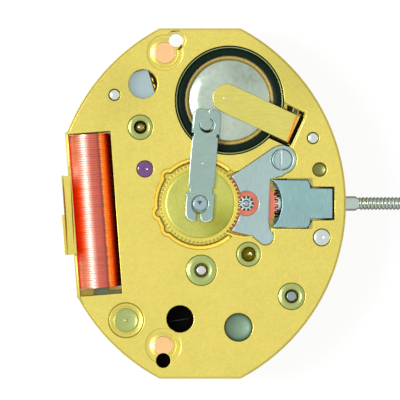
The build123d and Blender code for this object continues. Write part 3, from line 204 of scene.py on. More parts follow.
def blend_colours(tree, share, first, second):
    """Mixes two colours: a share of 0 shows the first."""
    inputs = {MIX_SHARE: share, MIX_FIRST: first, MIX_SECOND: second}
    return put(tree, "ShaderNodeMix", inputs, data_type="RGBA").outputs[MIX_COLOUR]


def spread(tree, value, low, high, to_low=0.0, to_high=1.0, **settings):
    """Maps a value's range onto another, clamped."""
    inputs = {"Value": value, "From Min": low, "From Max": high, "To Min": to_low, "To Max": to_high}
    return put(tree, "ShaderNodeMapRange", inputs, **settings).outputs["Result"]


def ramp(tree, value, stops):
    """A colour for a value: stops are (position, screen colour) pairs."""
    item = put(tree, "ShaderNodeValToRGB", {"Fac": value})
    elements = item.color_ramp.elements
    while len(elements) < len(stops):
        elements.new(0.5)
    for element, (position, colour) in zip(elements, stops):
        element.position = position
        element.color = linear(*colour)
    return item.outputs["Color"]


# Effects that several materials share

FLOAT, VECTOR = "NodeSocketFloat", "NodeSocketVector"
FLAT = (1.0, 1.0, 0.0)
EVEN = (1.0, 1.0, 1.0)
ALONG_Y = (1.0, 0.12, 1.0)
ALONG_X = (0.12, 1.0, 1.0)
FINE_GRAIN = 0.08 * MM
METAL_CLOUD = 2.5 * MM
PLASTIC_GRAIN = 0.12 * MM
PLASTIC_CLOUD = 1.5 * MM
JEWEL_GRAIN = 0.3 * MM
JEWEL_CLOUD = 0.6 * MM
EDGE_WIDTH = 0.04 * MM
EDGE_BREAKUP = 0.4
EDGE_SHARE = 0.6
RING_PITCH = 0.06 * MM
WEAR_SCALE = 6000.0
BEVEL_SAMPLES = 6
SKIN_HEIGHT = 0.01 * MM
POLISH_HEIGHT = 0.005 * MM


def new_group(name, inputs, outputs):
    """A shader group whose inputs are (name, kind, value) and outputs (name, kind)."""
    tree = bpy.data.node_groups.new(name, "ShaderNodeTree")
    for label, kind, value in inputs:
        socket = tree.interface.new_socket(label, in_out="INPUT", socket_type=kind)
        socket.default_value = value
    for label, kind in outputs:
        tree.interface.new_socket(label, in_out="OUTPUT", socket_type=kind)
    return tree, tree.nodes.new("NodeGroupInput"), tree.nodes.new("NodeGroupOutput")


def use_group(tree, group, inputs):
    return put(tree, "ShaderNodeGroup", inputs, node_tree=group)


def make_grain_group():
    """Fine grain, stretched along an axis, with a slower cloud of tone over it."""
    inputs = [("Size", FLOAT, FINE_GRAIN), ("Stretch", VECTOR, EVEN), ("Cloud Size", FLOAT, METAL_CLOUD)]
    tree, start, end = new_group("surface_grain", inputs, [("Grain", FLOAT), ("Cloud", FLOAT)])
    place = object_place(tree)
    fine_scale = math_node(tree, "DIVIDE", 1.0, start.outputs["Size"])
    cloud_scale = math_node(tree, "DIVIDE", 1.0, start.outputs["Cloud Size"])
    stretched = put(tree, "ShaderNodeMapping", {"Vector": place, "Scale": start.outputs["Stretch"]})
    grain = noise_node(tree, stretched.outputs[0], fine_scale, 3.0)
    feed(tree, end, {"Grain": grain, "Cloud": noise_node(tree, place, cloud_scale, 2.0)})
    return tree


def make_edge_group():
    """1 on edges and corners, 0 on open surfaces, broken up a little by noise."""
    inputs = [("Width", FLOAT, EDGE_WIDTH), ("Breakup", FLOAT, EDGE_BREAKUP)]
    tree, start, end = new_group("edge_wear", inputs, [("Edge", FLOAT)])
    rounded = put(tree, "ShaderNodeBevel", {"Radius": start.outputs["Width"]}, samples=BEVEL_SAMPLES)
    true_normal = put(tree, "ShaderNodeNewGeometry").outputs["Normal"]
    agreement = vector_node(tree, "DOT_PRODUCT", rounded.outputs[0], true_normal).outputs["Value"]
    edge = spread(tree, agreement, 0.995, 0.80)
    noise = noise_node(tree, object_place(tree), WEAR_SCALE, 3.0)
    patchy = spread(tree, noise, 0.35, 0.65, 0.3, 1.0)
    solid = math_node(tree, "SUBTRACT", 1.0, start.outputs["Breakup"])
    share = math_node(tree, "ADD", solid, math_node(tree, "MULTIPLY", patchy, start.outputs["Breakup"]))
    feed(tree, end, {"Edge": math_node(tree, "MULTIPLY", edge, share)})
    return tree


def make_ring_group():
    """Turned rings about a centre: fine lathe marks whose height runs with the distance from it."""
    inputs = [("Centre", VECTOR, (0.0, 0.0, 0.0)), ("Pitch", FLOAT, RING_PITCH)]
    tree, start, end = new_group("turned_rings", inputs, [("Rings", FLOAT)])
    offset = vector_node(tree, "SUBTRACT", object_place(tree), start.outputs["Centre"]).outputs["Vector"]
    flat = vector_node(tree, "MULTIPLY", offset, FLAT).outputs["Vector"]
    radius = put(tree, "ShaderNodeVectorMath", {0: flat}, operation="LENGTH").outputs["Value"]
    steps = math_node(tree, "DIVIDE", radius, start.outputs["Pitch"])
    rings = put(tree, "ShaderNodeTexNoise", {"W": steps, "Scale": 1.0, "Detail": 2.0}, noise_dimensions="1D")
    feed(tree, end, {"Rings": rings.outputs[0]})
    return tree


GRAIN = make_grain_group()
EDGE = make_edge_group()
RINGS = make_ring_group()


# Materials

MATERIALS = {}


def new_material(name):
    """A material kept by its name, with its node tree and shader."""
    made = bpy.data.materials.new(name)
    made.use_nodes = True
    MATERIALS[name] = made
    return made.node_tree, made.node_tree.nodes["Principled BSDF"]


def soft_normal(tree, radius, height, strength, distance):
    """A normal with rounded edges and a fine bump over it."""
    rounded = put(tree, "ShaderNodeBevel", {"Radius": radius}, samples=BEVEL_SAMPLES).outputs[0]
    inputs = {"Height": height, "Strength": strength, "Distance": distance, "Normal": rounded}
    return put(tree, "ShaderNodeBump", inputs).outputs[0]


def metal(name, colour, roughness, grain=FINE_GRAIN, stretch=EVEN, mottle=0.06, bump=0.25,
          edge_colour=None, painted_limb_shade=0.35, rings=None):
    """Metal with grain, slow tone changes, worn bright edges, and painted shade where the surface turns away
    from the view.
    """
    tree, shader = new_material(name)
    base = linear(*colour)
    marks = use_group(tree, GRAIN, {"Size": grain, "Stretch": stretch, "Cloud Size": METAL_CLOUD})
    tone = spread(tree, math_node(tree, "ADD", marks.outputs["Grain"], marks.outputs["Cloud"]), 0.7, 1.3)
    open_face = blend_colours(tree, tone, scaled(base, 1 - 2 * mottle), scaled(base, 1 + mottle))
    worn = edge_colour or tuple(min(255, value * 1.12) for value in colour)
    wear = use_group(tree, EDGE, {"Width": EDGE_WIDTH, "Breakup": EDGE_BREAKUP}).outputs["Edge"]
    edged = blend_colours(tree, math_node(tree, "MULTIPLY", wear, EDGE_SHARE), open_face, linear(*worn))
    # Painted shade: the colour darkens towards a dark copy of the base where the surface turns away from the
    # view.
    away = put(tree, "ShaderNodeLayerWeight", {"Blend": 0.5}).outputs["Facing"]
    shade = math_node(tree, "MULTIPLY", spread(tree, away, 0.25, 0.85), painted_limb_shade)
    height = marks.outputs["Grain"]
    if rings:
        turned = use_group(tree, RINGS, {"Centre": rings, "Pitch": RING_PITCH})
        height = math_node(tree, "ADD", height, turned.outputs["Rings"])
    feed(tree, shader, {
        "Base Color": blend_colours(tree, shade, edged, scaled(base, 0.15)),
        "Metallic": 1.0,
        "Roughness": spread(tree, marks.outputs["Grain"], 0.3, 0.7, roughness * 0.85, roughness * 1.15),
        "Normal": soft_normal(tree, EDGE_WIDTH, height, bump, SKIN_HEIGHT),
    })


SPECKLE = 0.15
SPECKLE_LIFT = 0.001


def plastic(name, colour, roughness, coat=0.0, reflecting=0.5):
    """Moulded plastic or lacquer with a fine texture."""
    tree, shader = new_material(name)
    base = linear(*colour)
    marks = use_group(tree, GRAIN, {"Size": PLASTIC_GRAIN, "Cloud Size": PLASTIC_CLOUD})
    darker, lighter = scaled(base, 1 - SPECKLE), scaled(base, 1 + SPECKLE, SPECKLE_LIFT)
    share = spread(tree, marks.outputs["Grain"], 0.35, 0.65)
    feed(tree, shader, {
        "Base Color": blend_colours(tree, share, darker, lighter),
        "Roughness": spread(tree, marks.outputs["Cloud"], 0.3, 0.7, roughness * 0.8, roughness * 1.2),
        "Coat Weight": coat,
        "Specular IOR Level": reflecting,
        "Normal": soft_normal(tree, EDGE_WIDTH, marks.outputs["Grain"], 0.3, SKIN_HEIGHT),
    })


RUBY, DEEP_RUBY = linear(128, 58, 150), linear(60, 14, 84)


def jewel(name):
    """Polished purple synthetic ruby, deeper where it is looked through at a slant."""
    tree, shader = new_material(name)
    facing = put(tree, "ShaderNodeLayerWeight", {"Blend": 0.35}).outputs["Facing"]
    marks = use_group(tree, GRAIN, {"Size": JEWEL_GRAIN, "Cloud Size": JEWEL_CLOUD})
    cloudy = math_node(tree, "ADD", facing, math_node(tree, "MULTIPLY", marks.outputs["Cloud"], 0.5))
    feed(tree, shader, {
        "Base Color": blend_colours(tree, spread(tree, cloudy, 0.1, 0.9), RUBY, DEEP_RUBY),
        "Roughness": 0.08,
        "Transmission Weight": 0.15,
        "IOR": 1.76,
        "Normal": soft_normal(tree, EDGE_WIDTH, marks.outputs["Grain"], 0.1, POLISH_HEIGHT),
    })


# The lacquer's colours across the coil, from its left side at 0 to its right side at 1, with a painted
# highlight, a painted orange reflection of the slot wall and painted shade towards the right side
WIRE_PAINTED_LIGHT_STOPS = [
    (0.00, (235, 120, 90)),
    (0.05, (252, 178, 148)),
    (0.16, (248, 148, 122)),
    (0.27, (250, 196, 176)),
    (0.40, (250, 180, 160)),
    (0.48, (232, 108, 84)),
    (0.64, (220, 88, 62)),
    (0.70, (160, 42, 6)),
    (0.74, (255, 144, 26)),
    (0.82, (255, 114, 12)),
    (0.88, (220, 34, 4)),
    (0.95, (140, 14, 2)),
    (1.00, (84, 10, 2)),
]
# Colours of a painted red glow on the left side of the coil's middle stretch
RED_GLOW_STOPS = [(0.0, (214, 20, 0)), (0.5, (255, 82, 18)), (1.0, (255, 124, 66))]
# Grey levels across the coil at which the lacquer glows as painted light, on its left side and its orange
# band
PAINTED_GLOW_LEVELS = [(0.0, 255), (0.10, 210), (0.24, 0), (0.70, 0), (0.74, 190), (0.84, 190), (0.93, 0)]
PAINTED_GLOW_STRENGTH = 0.62
GROOVE_RED = linear(120, 20, 10)
STREAK_SCALE = (400.0, 9000.0, 400.0)
STREAK_WANDER = 0.05
WIRE_EDGE = 0.01 * MM


def red_glow_share(tree, across, along, length):
    """How far the painted red glow reaches on the left side of the coil's middle stretch."""
    side = spread(tree, across, 0.26, 0.16)
    upper = spread(tree, along, length * 0.26, length * 0.16)
    lower = spread(tree, along, -length * 0.34, -length * 0.26)
    return math_node(tree, "MULTIPLY", side, math_node(tree, "MULTIPLY", upper, lower))


def coil_place(tree):
    """Coordinates that run across, along and up from the coil's middle."""
    inputs = {
        "Vector": object_place(tree),
        "Location": tuple(coil_frame().translation),
        "Rotation": (0.0, 0.0, COIL_TILT),
    }
    return put(tree, "ShaderNodeMapping", inputs, vector_type="TEXTURE").outputs[0]


def copper_wire(name):
    """Red lacquered copper wire whose lacquer runs from rose through orange to a deep shade across the coil,
    as a painted highlight, a painted orange reflection and painted shade.
    """
    tree, shader = new_material(name)
    outer, length = coil_size()
    local = coil_place(tree)
    parts = put(tree, "ShaderNodeSeparateXYZ", {0: local})
    stretched = put(tree, "ShaderNodeMapping", {"Vector": local, "Scale": STREAK_SCALE}).outputs[0]
    streaks = noise_node(tree, stretched, 1.0, 2.0)
    wander = math_node(tree, "MULTIPLY", math_node(tree, "SUBTRACT", streaks, 0.5), STREAK_WANDER)
    across = math_node(tree, "ADD", spread(tree, parts.outputs["X"], -outer, outer), wander)
    red_glow = ramp(tree, spread(tree, parts.outputs["X"], -outer, -outer * 0.3), RED_GLOW_STOPS)
    share = red_glow_share(tree, across, parts.outputs["Y"], length)
    # Painted light and shade across the coil, with the painted red glow on its left side
    tone = blend_colours(tree, share, ramp(tree, across, WIRE_PAINTED_LIGHT_STOPS), red_glow)
    lacquer_and_painted_light = blend_colours(tree, spread(tree, streaks, 0.3, 0.6, 0.28, 0.0), tone, GROOVE_RED)
    painted_glow = ramp(tree, across, [(place, (level, level, level)) for place, level in PAINTED_GLOW_LEVELS])
    feed(tree, shader, {
        "Base Color": lacquer_and_painted_light,
        # Painted light: the lacquer glows on its left side and its orange band, though it is no lamp.
        "Emission Color": lacquer_and_painted_light,
        "Emission Strength": math_node(tree, "MULTIPLY", painted_glow, PAINTED_GLOW_STRENGTH),
        "Metallic": 0.45,
        "Roughness": 0.32,
        "Coat Weight": 1.0,
        "Coat Roughness": 0.22,
        "Normal": soft_normal(tree, WIRE_EDGE, streaks, 0.2, POLISH_HEIGHT),
    })


def make_slot_materials():
    """The finishes that the record's slots name."""
    # Every metal below darkens where it turns away from the view, as painted shade; its limb-shade setting
    # sets how much.
    metal("gilt_plate", (216, 198, 100), 0.38, mottle=0.05)
    metal("gilt_bridge", (218, 203, 103), 0.36, grain=0.14 * MM, mottle=0.025, bump=0.35,
          edge_colour=(250, 238, 150))
    metal("gilt_spring", (208, 199, 105), 0.36, stretch=ALONG_X, mottle=0.03, edge_colour=(244, 238, 160))
    metal("gilt_tube", (170, 182, 112), 0.32, mottle=0.05, edge_colour=(226, 236, 176))
    metal("wheel_brass", (214, 200, 92), 0.40, edge_colour=(236, 216, 80))
    metal("copper_wheel", (238, 138, 112), 0.40, edge_colour=(250, 190, 160))
    metal("copper_disc", (243, 194, 138), 0.38, mottle=0.05, edge_colour=(255, 226, 176))
    metal("steel_cover", (163, 186, 184), 0.36, stretch=ALONG_Y, mottle=0.04, edge_colour=(206, 222, 216))
    metal("steel_bright", (196, 208, 204), 0.26, mottle=0.05, edge_colour=(240, 244, 240), painted_limb_shade=0.8)
    metal("steel_dark", (88, 98, 98), 0.34, mottle=0.08)
    metal("soft_iron", (118, 126, 98), 0.45, mottle=0.10)
    metal("magnet", (44, 44, 46), 0.5, mottle=0.12)
    metal("cell_steel", (184, 198, 182), 0.26, grain=0.3 * MM, mottle=0.05, bump=0.10)
    metal("crystal_steel", (118, 146, 142), 0.34, stretch=ALONG_X)
    plastic("gasket", (198, 168, 84), 0.4)
    plastic("dark_plastic", (14, 34, 24), 0.3, reflecting=0.08)
    plastic("black_plastic", (3, 3, 3), 0.6, reflecting=0.02)
    plastic("board", (60, 84, 44), 0.4, coat=0.2)
    jewel("jewel")
    copper_wire("copper_wire")


def make_steels():
    """Steels and pin metals that differ from their slot's usual one, as the photograph shows."""
    # These metals also carry painted shade where they turn away from the view.
    metal("strap_steel", (151, 175, 166), 0.34, stretch=ALONG_X, mottle=0.03, edge_colour=(236, 242, 222))
    metal("polished_steel", (208, 218, 212), 0.20, mottle=0.05, bump=0.1, edge_colour=(250, 250, 246),
          painted_limb_shade=1.8)
    metal("contact_steel", (170, 190, 194), 0.34, mottle=0.04)
    metal("stem_cover_steel", (143, 178, 178), 0.34, stretch=ALONG_Y, edge_colour=(196, 216, 212))
    metal("cup_steel", (128, 152, 130), 0.62, mottle=0.05, painted_limb_shade=0.9)
    metal("glint_steel", (248, 250, 240), 0.30, mottle=0.02, painted_limb_shade=0.1)
    metal("arbor_steel", (158, 184, 190), 0.26, mottle=0.05, edge_colour=(236, 242, 236), painted_limb_shade=0.8)
    metal("stem_steel", (186, 200, 192), 0.18, edge_colour=(240, 244, 240), painted_limb_shade=2.0)
    metal("slate", (78, 94, 98), 0.36, mottle=0.10)
    metal("pin_bronze", (166, 150, 104), 0.16, mottle=0.08, edge_colour=(190, 176, 130), painted_limb_shade=0.5)
    metal("pin_silver", (206, 212, 208), 0.24, edge_colour=(240, 240, 236))
    metal("pin_gilt", (204, 182, 104), 0.16, mottle=0.08, edge_colour=(240, 226, 170), painted_limb_shade=0.3)
    metal("pin_grey", (148, 158, 156), 0.32, edge_colour=(180, 188, 184))


def make_gilts():
    """Gilt tones of lips and joints, a darker gilt as painted shade in a hollow, lighter gilts as painted
    highlights and reflection, the wheel's face, the red lacquer that lines the coil's slot, and a dark brown
    for joints and, as painted shade, for other slots.
    """
    # These metals also carry painted shade where they turn away from the view.
    metal("wheel_face", (190, 192, 98), 0.42, mottle=0.08, edge_colour=(226, 222, 120),
          rings=(0.0, 0.0, 0.0))
    # A darker gilt for the blind hole's floor: painted shade in the hole.
    metal("hole_shade_gilt", (130, 130, 76), 0.4, mottle=0.08, painted_limb_shade=0.8)
    # A lighter copy of the gilt: painted light on the recess lip, a band by the cover, the dishes' rims and
    # the contact's bits.
    metal("lit_gilt", (250, 222, 92), 0.4, edge_colour=(255, 240, 130), painted_limb_shade=0.2)
    # A pale cream gilt for the painted highlight on the arm pocket's edge.
    metal("cream_highlight_gilt", (252, 240, 176), 0.36, mottle=0.04, painted_limb_shade=0.2)
    # An orange gilt for the arm's bent end: a painted reflection.
    metal("orange_reflection_gilt", (232, 150, 52), 0.4, mottle=0.12, painted_limb_shade=0.5)
    metal("amber_gilt", (222, 166, 52), 0.4, mottle=0.10, painted_limb_shade=0.4)
    metal("brown_gilt", (120, 74, 18), 0.4, mottle=0.12)
    metal("pale_ring", (150, 166, 120), 0.36, mottle=0.08)
    plastic("red_lacquer", (236, 96, 60), 0.4)
    # A dark brown: painted shade in the arm's slots and the contact's hole, and the colour of dark joints.
    plastic("shade", (44, 30, 8), 0.6, reflecting=0.05)


# Darker places of the cell's cap, the wheel and the plate; on the wheel a painted shadow of the strap:
# material, place on the photograph, reach in millimetres, colour, amount, how patchy
DARKER_PLACES = [
    ("cell_steel", (250.0, 78.0), 1.7, (100, 116, 104), 0.5, 0.45),
    ("cell_steel", (236.0, 70.0), 1.3, (120, 136, 122), 0.4, 0.3),
    # Painted shadow of the strap across the wheel's face
    ("wheel_face", (222.0, 224.0), 2.3, (134, 134, 34), 0.75, 0.1),
    ("gilt_bridge", (296.0, 66.0), 5.0, (170, 162, 74), 0.4, 0.1),
    ("gilt_bridge", (120.0, 96.0), 3.4, (180, 164, 84), 0.3, 0.1),
]
DARKENING_GRAIN_SCALE = 2600.0


def darken_round(name, pixel, reach, colour, amount, patchy):
    """Darkens a material round a place, broken up by grain as far as patchy says."""
    tree = MATERIALS[name].node_tree
    base = tree.nodes["Principled BSDF"].inputs["Base Color"]
    place = object_place(tree)
    flat = vector_node(tree, "MULTIPLY", place, FLAT).outputs["Vector"]
    away = vector_node(tree, "DISTANCE", flat, (*on_photo(*pixel), 0.0)).outputs["Value"]
    grain = spread(tree, noise_node(tree, place, DARKENING_GRAIN_SCALE, 4.0), 0.42, 0.6, 1.0 - patchy, 1.0)
    near = spread(tree, away, reach * MM, 0.0, 0.0, amount, interpolation_type="SMOOTHSTEP")
    share = math_node(tree, "MULTIPLY", near, grain)
    tree.links.new(blend_colours(tree, share, base.links[0].from_socket, linear(*colour)), base)


def make_materials():
    make_slot_materials()
    make_steels()
    make_gilts()
    for place in DARKER_PLACES:
        darken_round(*place)


def dress_cad():
    """Gives every CAD node the material of its slot in the record."""
    for entry in frame["record"]["subparts"]:
        shown = cad[entry["node"]]
        shown.data.materials.clear()
        shown.data.materials.append(MATERIALS[entry["material_slot"]])


# Mesh helpers

SHARP_SHEET, SHARP_TURNED, SHARP_SOFT, SHARP_THREAD, SHARP_CUT = 35.0, 50.0, 60.0, 40.0, 30.0


def finish_mesh(name, work, degrees):
    """Turns a bmesh into a mesh with smooth curved faces, sharp corners and plain flat faces."""
    mesh = bpy.data.meshes.new(name)
    work.to_mesh(mesh)
    work.free()
    mesh.shade_smooth()
    mesh.set_sharp_from_angle(angle=math.radians(degrees))
    for face in mesh.polygons:
        face.use_smooth = abs(face.normal.z) < LEVEL_FACE
    return mesh


def link_piece(name, work, degrees, body, slot, material=None, replaced=()):
    """Makes a bmesh a piece that rides on a body and stands for the replaced CAD nodes."""
    mesh = finish_mesh(name, work, degrees)
    piece = bpy.data.objects.new(name, mesh)
    bpy.context.scene.collection.objects.link(piece)
    mesh.materials.append(MATERIALS[material or slot])
    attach(piece, body)
    if replaced:
        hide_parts(*replaced)


def face_outward(work):
    bmesh.ops.recalc_face_normals(work, faces=work.faces)


def welded(node):
    """The CAD node's mesh, its split vertices joined again, as a bmesh."""
    work = bmesh.new()
    work.from_mesh(cad[node].data)
    bmesh.ops.remove_doubles(work, verts=work.verts, dist=WELD)
    return work


def loose_boxes(node):
    """Lowest and highest corners of each separate solid of a node, from left to right."""
    work = welded(node)
    unseen = set(work.verts)
    boxes = []
    while unseen:
        stack = [unseen.pop()]
        low, high = stack[0].co.copy(), stack[0].co.copy()
        while stack:
            corner = stack.pop()
            low = Vector(map(min, low, corner.co))
            high = Vector(map(max, high, corner.co))
            for edge in corner.link_edges:
                other = edge.other_vert(corner)
                if other in unseen:
                    unseen.discard(other)
                    stack.append(other)
        boxes.append((low, high))
    work.free()
    return sorted(boxes, key=lambda box: box[0].x)


def circle(radius, sides):
    """Corners of a circle about the origin, as pairs of coordinates."""
    places = []
    for side in range(sides):
        angle = 2 * math.pi * side / sides
        places.append((radius * math.cos(angle), radius * math.sin(angle)))
    return places


def join_rings(work, first, second):
    """Faces between two closed rings with as many corners."""
    count = len(first)
    for index in range(count):
        after = (index + 1) % count
        work.faces.new((first[index], first[after], second[after], second[index]))


def skin_rings(work, rings):
    """Faces along a row of closed rings."""
    for first, second in zip(rings, rings[1:]):
        join_rings(work, first, second)


def join_rows(work, first, second):
    """Faces between two open rows with as many corners."""
    for index in range(len(first) - 1):
        work.faces.new((first[index], first[index + 1], second[index + 1], second[index]))


# Rounded rims on the CAD's own shapes


def border_loops(flats):
    """The closed loops of corners round a set of faces."""
    inside = set(flats)
    after = {}
    for face in flats:
        for loop in face.loops:
            beyond = [other for other in loop.edge.link_faces if other is not face and other in inside]
            if not beyond:
                after[loop.vert] = loop.link_loop_next.vert
    loops = []
    while after:
        first, following = after.popitem()
        path = [first]
        while following in after:
            path.append(following)
            following = after.pop(following)
        loops.append(path)
    return loops


def flat_loops(work, level, facing):
    """The level faces at a height and the closed loops of corners round them."""
    flats = []
    for face in work.faces:
        if face.normal.z * facing > LEVEL_FACE and abs(face.calc_center_median().z - level) < NEAR:
            flats.append(face)
    return flats, border_loops(flats)


LEAST_SHARE = 0.4


def inward(points, facing):
    """For each corner of a loop, the move that shrinks the face inside the loop by one."""
    moves = []
    count = len(points)
    for index, here in enumerate(points):
        sides = []
        for start, end in ((points[index - 1], here), (here, points[(index + 1) % count])):
            along = (end - start).normalized()
            sides.append(Vector((-along.y, along.x, 0.0)) * facing)
        share = max(LEAST_SHARE, 1.0 + sides[0].dot(sides[1]))
        moves.append((sides[0] + sides[1]) / share)
    return moves


RIM_STEPS = 3


def round_loop(work, loop, radius, facing):
    """Turns the wall above a loop inward in an arc, and gives the arc's last ring."""
    places = [corner.co.copy() for corner in loop]
    moves = inward(places, facing)
    for corner in loop:
        corner.co.z -= facing * radius
    rings = [loop]
    for step in range(1, RIM_STEPS + 1):
        turned = math.pi / 2 * step / RIM_STEPS
        back, rise = radius * (1 - math.cos(turned)), radius * (math.sin(turned) - 1)
        ring = []
        for place, move in zip(places, moves):
            ring.append(work.verts.new(place + move * back + UP * (facing * rise)))
        rings.append(ring)
    skin_rings(work, rings)
    return rings[-1]


def round_rims(work, level, radius, facing):
    """Rounds every edge where the level faces at a height meet their walls."""
    flats, loops = flat_loops(work, level, facing)
    bmesh.ops.delete(work, geom=flats, context="FACES")
    rims = []
    for loop in loops:
        ring = round_loop(work, loop, radius, facing)
        for here, after in zip(ring, ring[1:] + ring[:1]):
            rims.append(work.edges.get((here, after)))
    bmesh.ops.triangle_fill(work, use_beauty=True, use_dissolve=False, edges=rims, normal=UP * facing)


def soften(node, radius, facing, body, slot, material=None):
    """A copy of a CAD node in its place, its upper or lower rims rounded."""
    base, top = levels_of(node)
    work = welded(node)
    round_rims(work, (top if facing > 0 else base) * MM, radius * MM, facing)
    link_piece(node + "_fine", work, SHARP_SHEET, body, slot, material, [node])


# Node, radius of its rims in millimetres, side they face, body, slot, material where it isn't the slot's
SOFTENED = [
    ("bridge_plate", 0.035, 1, "frame", "gilt_bridge", None),
    ("main_plate", 0.03, -1, "frame", "gilt_plate", None),
    ("centre_strap", 0.055, 1, "frame", "steel_cover", "strap_steel"),
    ("negative_contact", 0.04, 1, "frame", "gilt_spring", None),
    ("keyless_cover", 0.025, 1, "frame", "steel_cover", None),
    ("stem_cover", 0.02, 1, "frame", "steel_cover", "stem_cover_steel"),
    ("positive_contact", 0.03, 1, "frame", "steel_bright", "contact_steel"),
    ("setting_lever_axle", 0.04, 1, "lever", "steel_cover", None),
    ("centre_wheel", 0.015, 1, "centre", "wheel_brass", None),
    ("setting_pinion", 0.015, 1, "setting", "steel_bright", None),
    ("setting_wheel", 0.015, 1, "setting", "copper_wheel", None),
    ("centre_arbor", 0.05, 1, "centre", "steel_bright", "arbor_steel"),
]


def add_softened():
    for row in SOFTENED:
        soften(*row)


# Turned shapes


def lathe_faces(work, profile, place, segments=96):
    """Spins a profile of (radius, height) pairs in millimetres about a vertical axis."""
    x, y = place
    rings = []
    for radius, height in profile:
        corners = circle(radius * MM, segments) if radius > 0 else [(0.0, 0.0)]
        rings.append([work.verts.new((x + aside, y + up, height * MM)) for aside, up in corners])
    for lower, upper in zip(rings, rings[1:]):
        if len(lower) > 1 and len(upper) > 1:
            join_rings(work, lower, upper)
            continue
        tip, ring = (lower, upper) if len(lower) == 1 else (upper, lower)
        if len(ring) == 1:
            continue
        for step in range(segments):
            work.faces.new((tip[0], ring[step], ring[(step + 1) % segments]))


CORNER_REACH = 0.45
FINE_ROUND, SOFT_ROUND, TUBE_ROUND, PIN_ROUND = 0.02, 0.03, 0.035, 0.04


def rounded_profile(points, radius, steps=4):
    """The profile with its inner corners rounded: (radius, height) pairs in millimetres."""
    result = [points[0]]
    for before, corner, after in zip(points, points[1:], points[2:]):
        corner = Vector(corner)
        first = Vector(before) - corner
        second = Vector(after) - corner
        reach = min(radius, first.length * CORNER_REACH, second.length * CORNER_REACH)
        start = corner + first.normalized() * reach
        end = corner + second.normalized() * reach
        for step in range(steps + 1):
            share = step / steps
            result.append(tuple(start.lerp(corner, share).lerp(corner.lerp(end, share), share)))
    result.append(points[-1])
    return result


def outline(radius, top, points):
    """Points given as (distance outside a radius, depth under a top), as (radius, height) pairs."""
    return [(radius + aside, top - depth) for aside, depth in points]


def standing(base, edge):
    """A turned solid from the middle of its base out to where its upper outline starts."""
    return [(0, base), (edge[0][0], base)] + edge


def turned_piece(name, parts, body, slot, material=None, replaced=(), segments=96):
    """One piece of turned shapes: parts are (profile in millimetres, place in metres) pairs."""
    work = bmesh.new()
    for profile, place in parts:
        lathe_faces(work, profile, place, segments)
    face_outward(work)
    link_piece(name, work, SHARP_TURNED, body, slot, material, replaced)


# Four tubes in the bridge. Outlines are (distance outside the head, step or bore; depth under the top).
TUBE_BORES = (0.42, 0.46, 0.48, 0.44)
TUBE_BODY_RADIUS = 0.60
TUBE_HEAD_HEIGHT = 0.49
TUBE_STEP_SHARE = 0.55
TUBE_HEAD = [(-0.02, TUBE_HEAD_HEIGHT), (-0.02, 0.10), (-0.06, 0.065)]
TUBE_STEP = [(0.06, 0.04), (0, 0)]
TUBE_SINK = [(0.18, 0.02), (0.03, 0.12), (0, 0.24)]


def add_tubes():
    """Four flanged tubes with a rounded rim, a turned step and a countersunk bore."""
    parts = []
    for (low, high), bore in zip(loose_boxes("bridge_tubes"), TUBE_BORES):
        head = (high.x - low.x) / 2 / MM
        base, top = low.z / MM, high.z / MM
        step = bore + (head - bore) * TUBE_STEP_SHARE
        body = [(bore, base), (TUBE_BODY_RADIUS, base), (TUBE_BODY_RADIUS, top - TUBE_HEAD_HEIGHT)]
        upper = outline(head, top, TUBE_HEAD) + outline(step, top, TUBE_STEP) + outline(bore, top, TUBE_SINK)
        profile = body + upper + [(bore, base)]
        parts.append((rounded_profile(profile, TUBE_ROUND), middle((low, high))))
    turned_piece("tubes_fine", parts, "frame", "gilt_tube", replaced=["bridge_tubes"])


# The pins in the tubes from left to right: a ball, a dome, a cone and a peg
PIN_SHAPES = {
    "pin_bronze": [(0.41, 0.34), (0.36, 0.22), (0.25, 0.10), (0.10, 0.02), (0, 0)],
    "pin_silver": [(0.34, 0.06), (0.27, 0.005), (0.12, 0), (0, 0)],
    "pin_gilt": [(0.46, 0.40), (0.05, 0.02), (0, 0)],
    "pin_grey": [(0.35, 0.05), (0.31, 0), (0, 0)],
}


def add_tube_pins():
    """Each tube's own pin, in its own metal."""
    replaced = ["tube_pins"]
    for box, (name, shape) in zip(loose_boxes("tube_pins"), PIN_SHAPES.items()):
        low, high = box
        profile = standing(low.z / MM, outline(0, high.z / MM, shape))
        part = (rounded_profile(profile, PIN_ROUND), middle(box))
        turned_piece(name, [part], "frame", "steel_bright", name, replaced, 64)
        replaced = []


STEADY_PIN_JOINT = 0.035
STEADY_PIN_DOME = 0.13
DOME_ANGLES = (0.4, 0.8, 1.2)


def add_steady_pins():
    """Steady pins, polished domes in a fine dark joint."""
    parts = []
    for low, high in loose_boxes("steady_pins"):
        radius = half_width((low, high)) - STEADY_PIN_JOINT
        top = high.z / MM
        spring = top - STEADY_PIN_DOME
        edge = [(radius, spring)]
        for angle in DOME_ANGLES:
            edge.append((radius * math.cos(angle), spring + STEADY_PIN_DOME * math.sin(angle)))
        parts.append((standing(low.z / MM, edge + [(0, top)]), middle((low, high))))
    turned_piece("steady_pins_fine", parts, "frame", "steel_bright", "polished_steel", ["steady_pins"])


STOP_PIN_JOINT = 0.03
STOP_PIN_RIM = [(0, 0.10), (-0.09, 0.03)]
STOP_PIN_FACE = [(0.34, 0), (0.17, 0.005), (0.10, 0.03), (0.04, 0.045), (0, 0.045)]


def add_stop_pin():
    """Broad pin end, slightly domed, with a small hollow in its middle."""
    box = corners_of("stop_pin")
    base, top = levels_of("stop_pin")
    edge = outline(half_width(box) - STOP_PIN_JOINT, top, STOP_PIN_RIM) + outline(0, top, STOP_PIN_FACE)
    parts = [(rounded_profile(standing(base, edge), FINE_ROUND), middle(box))]
    turned_piece("stop_pin_fine", parts, "frame", "steel_bright", "polished_steel", ["stop_pin"])


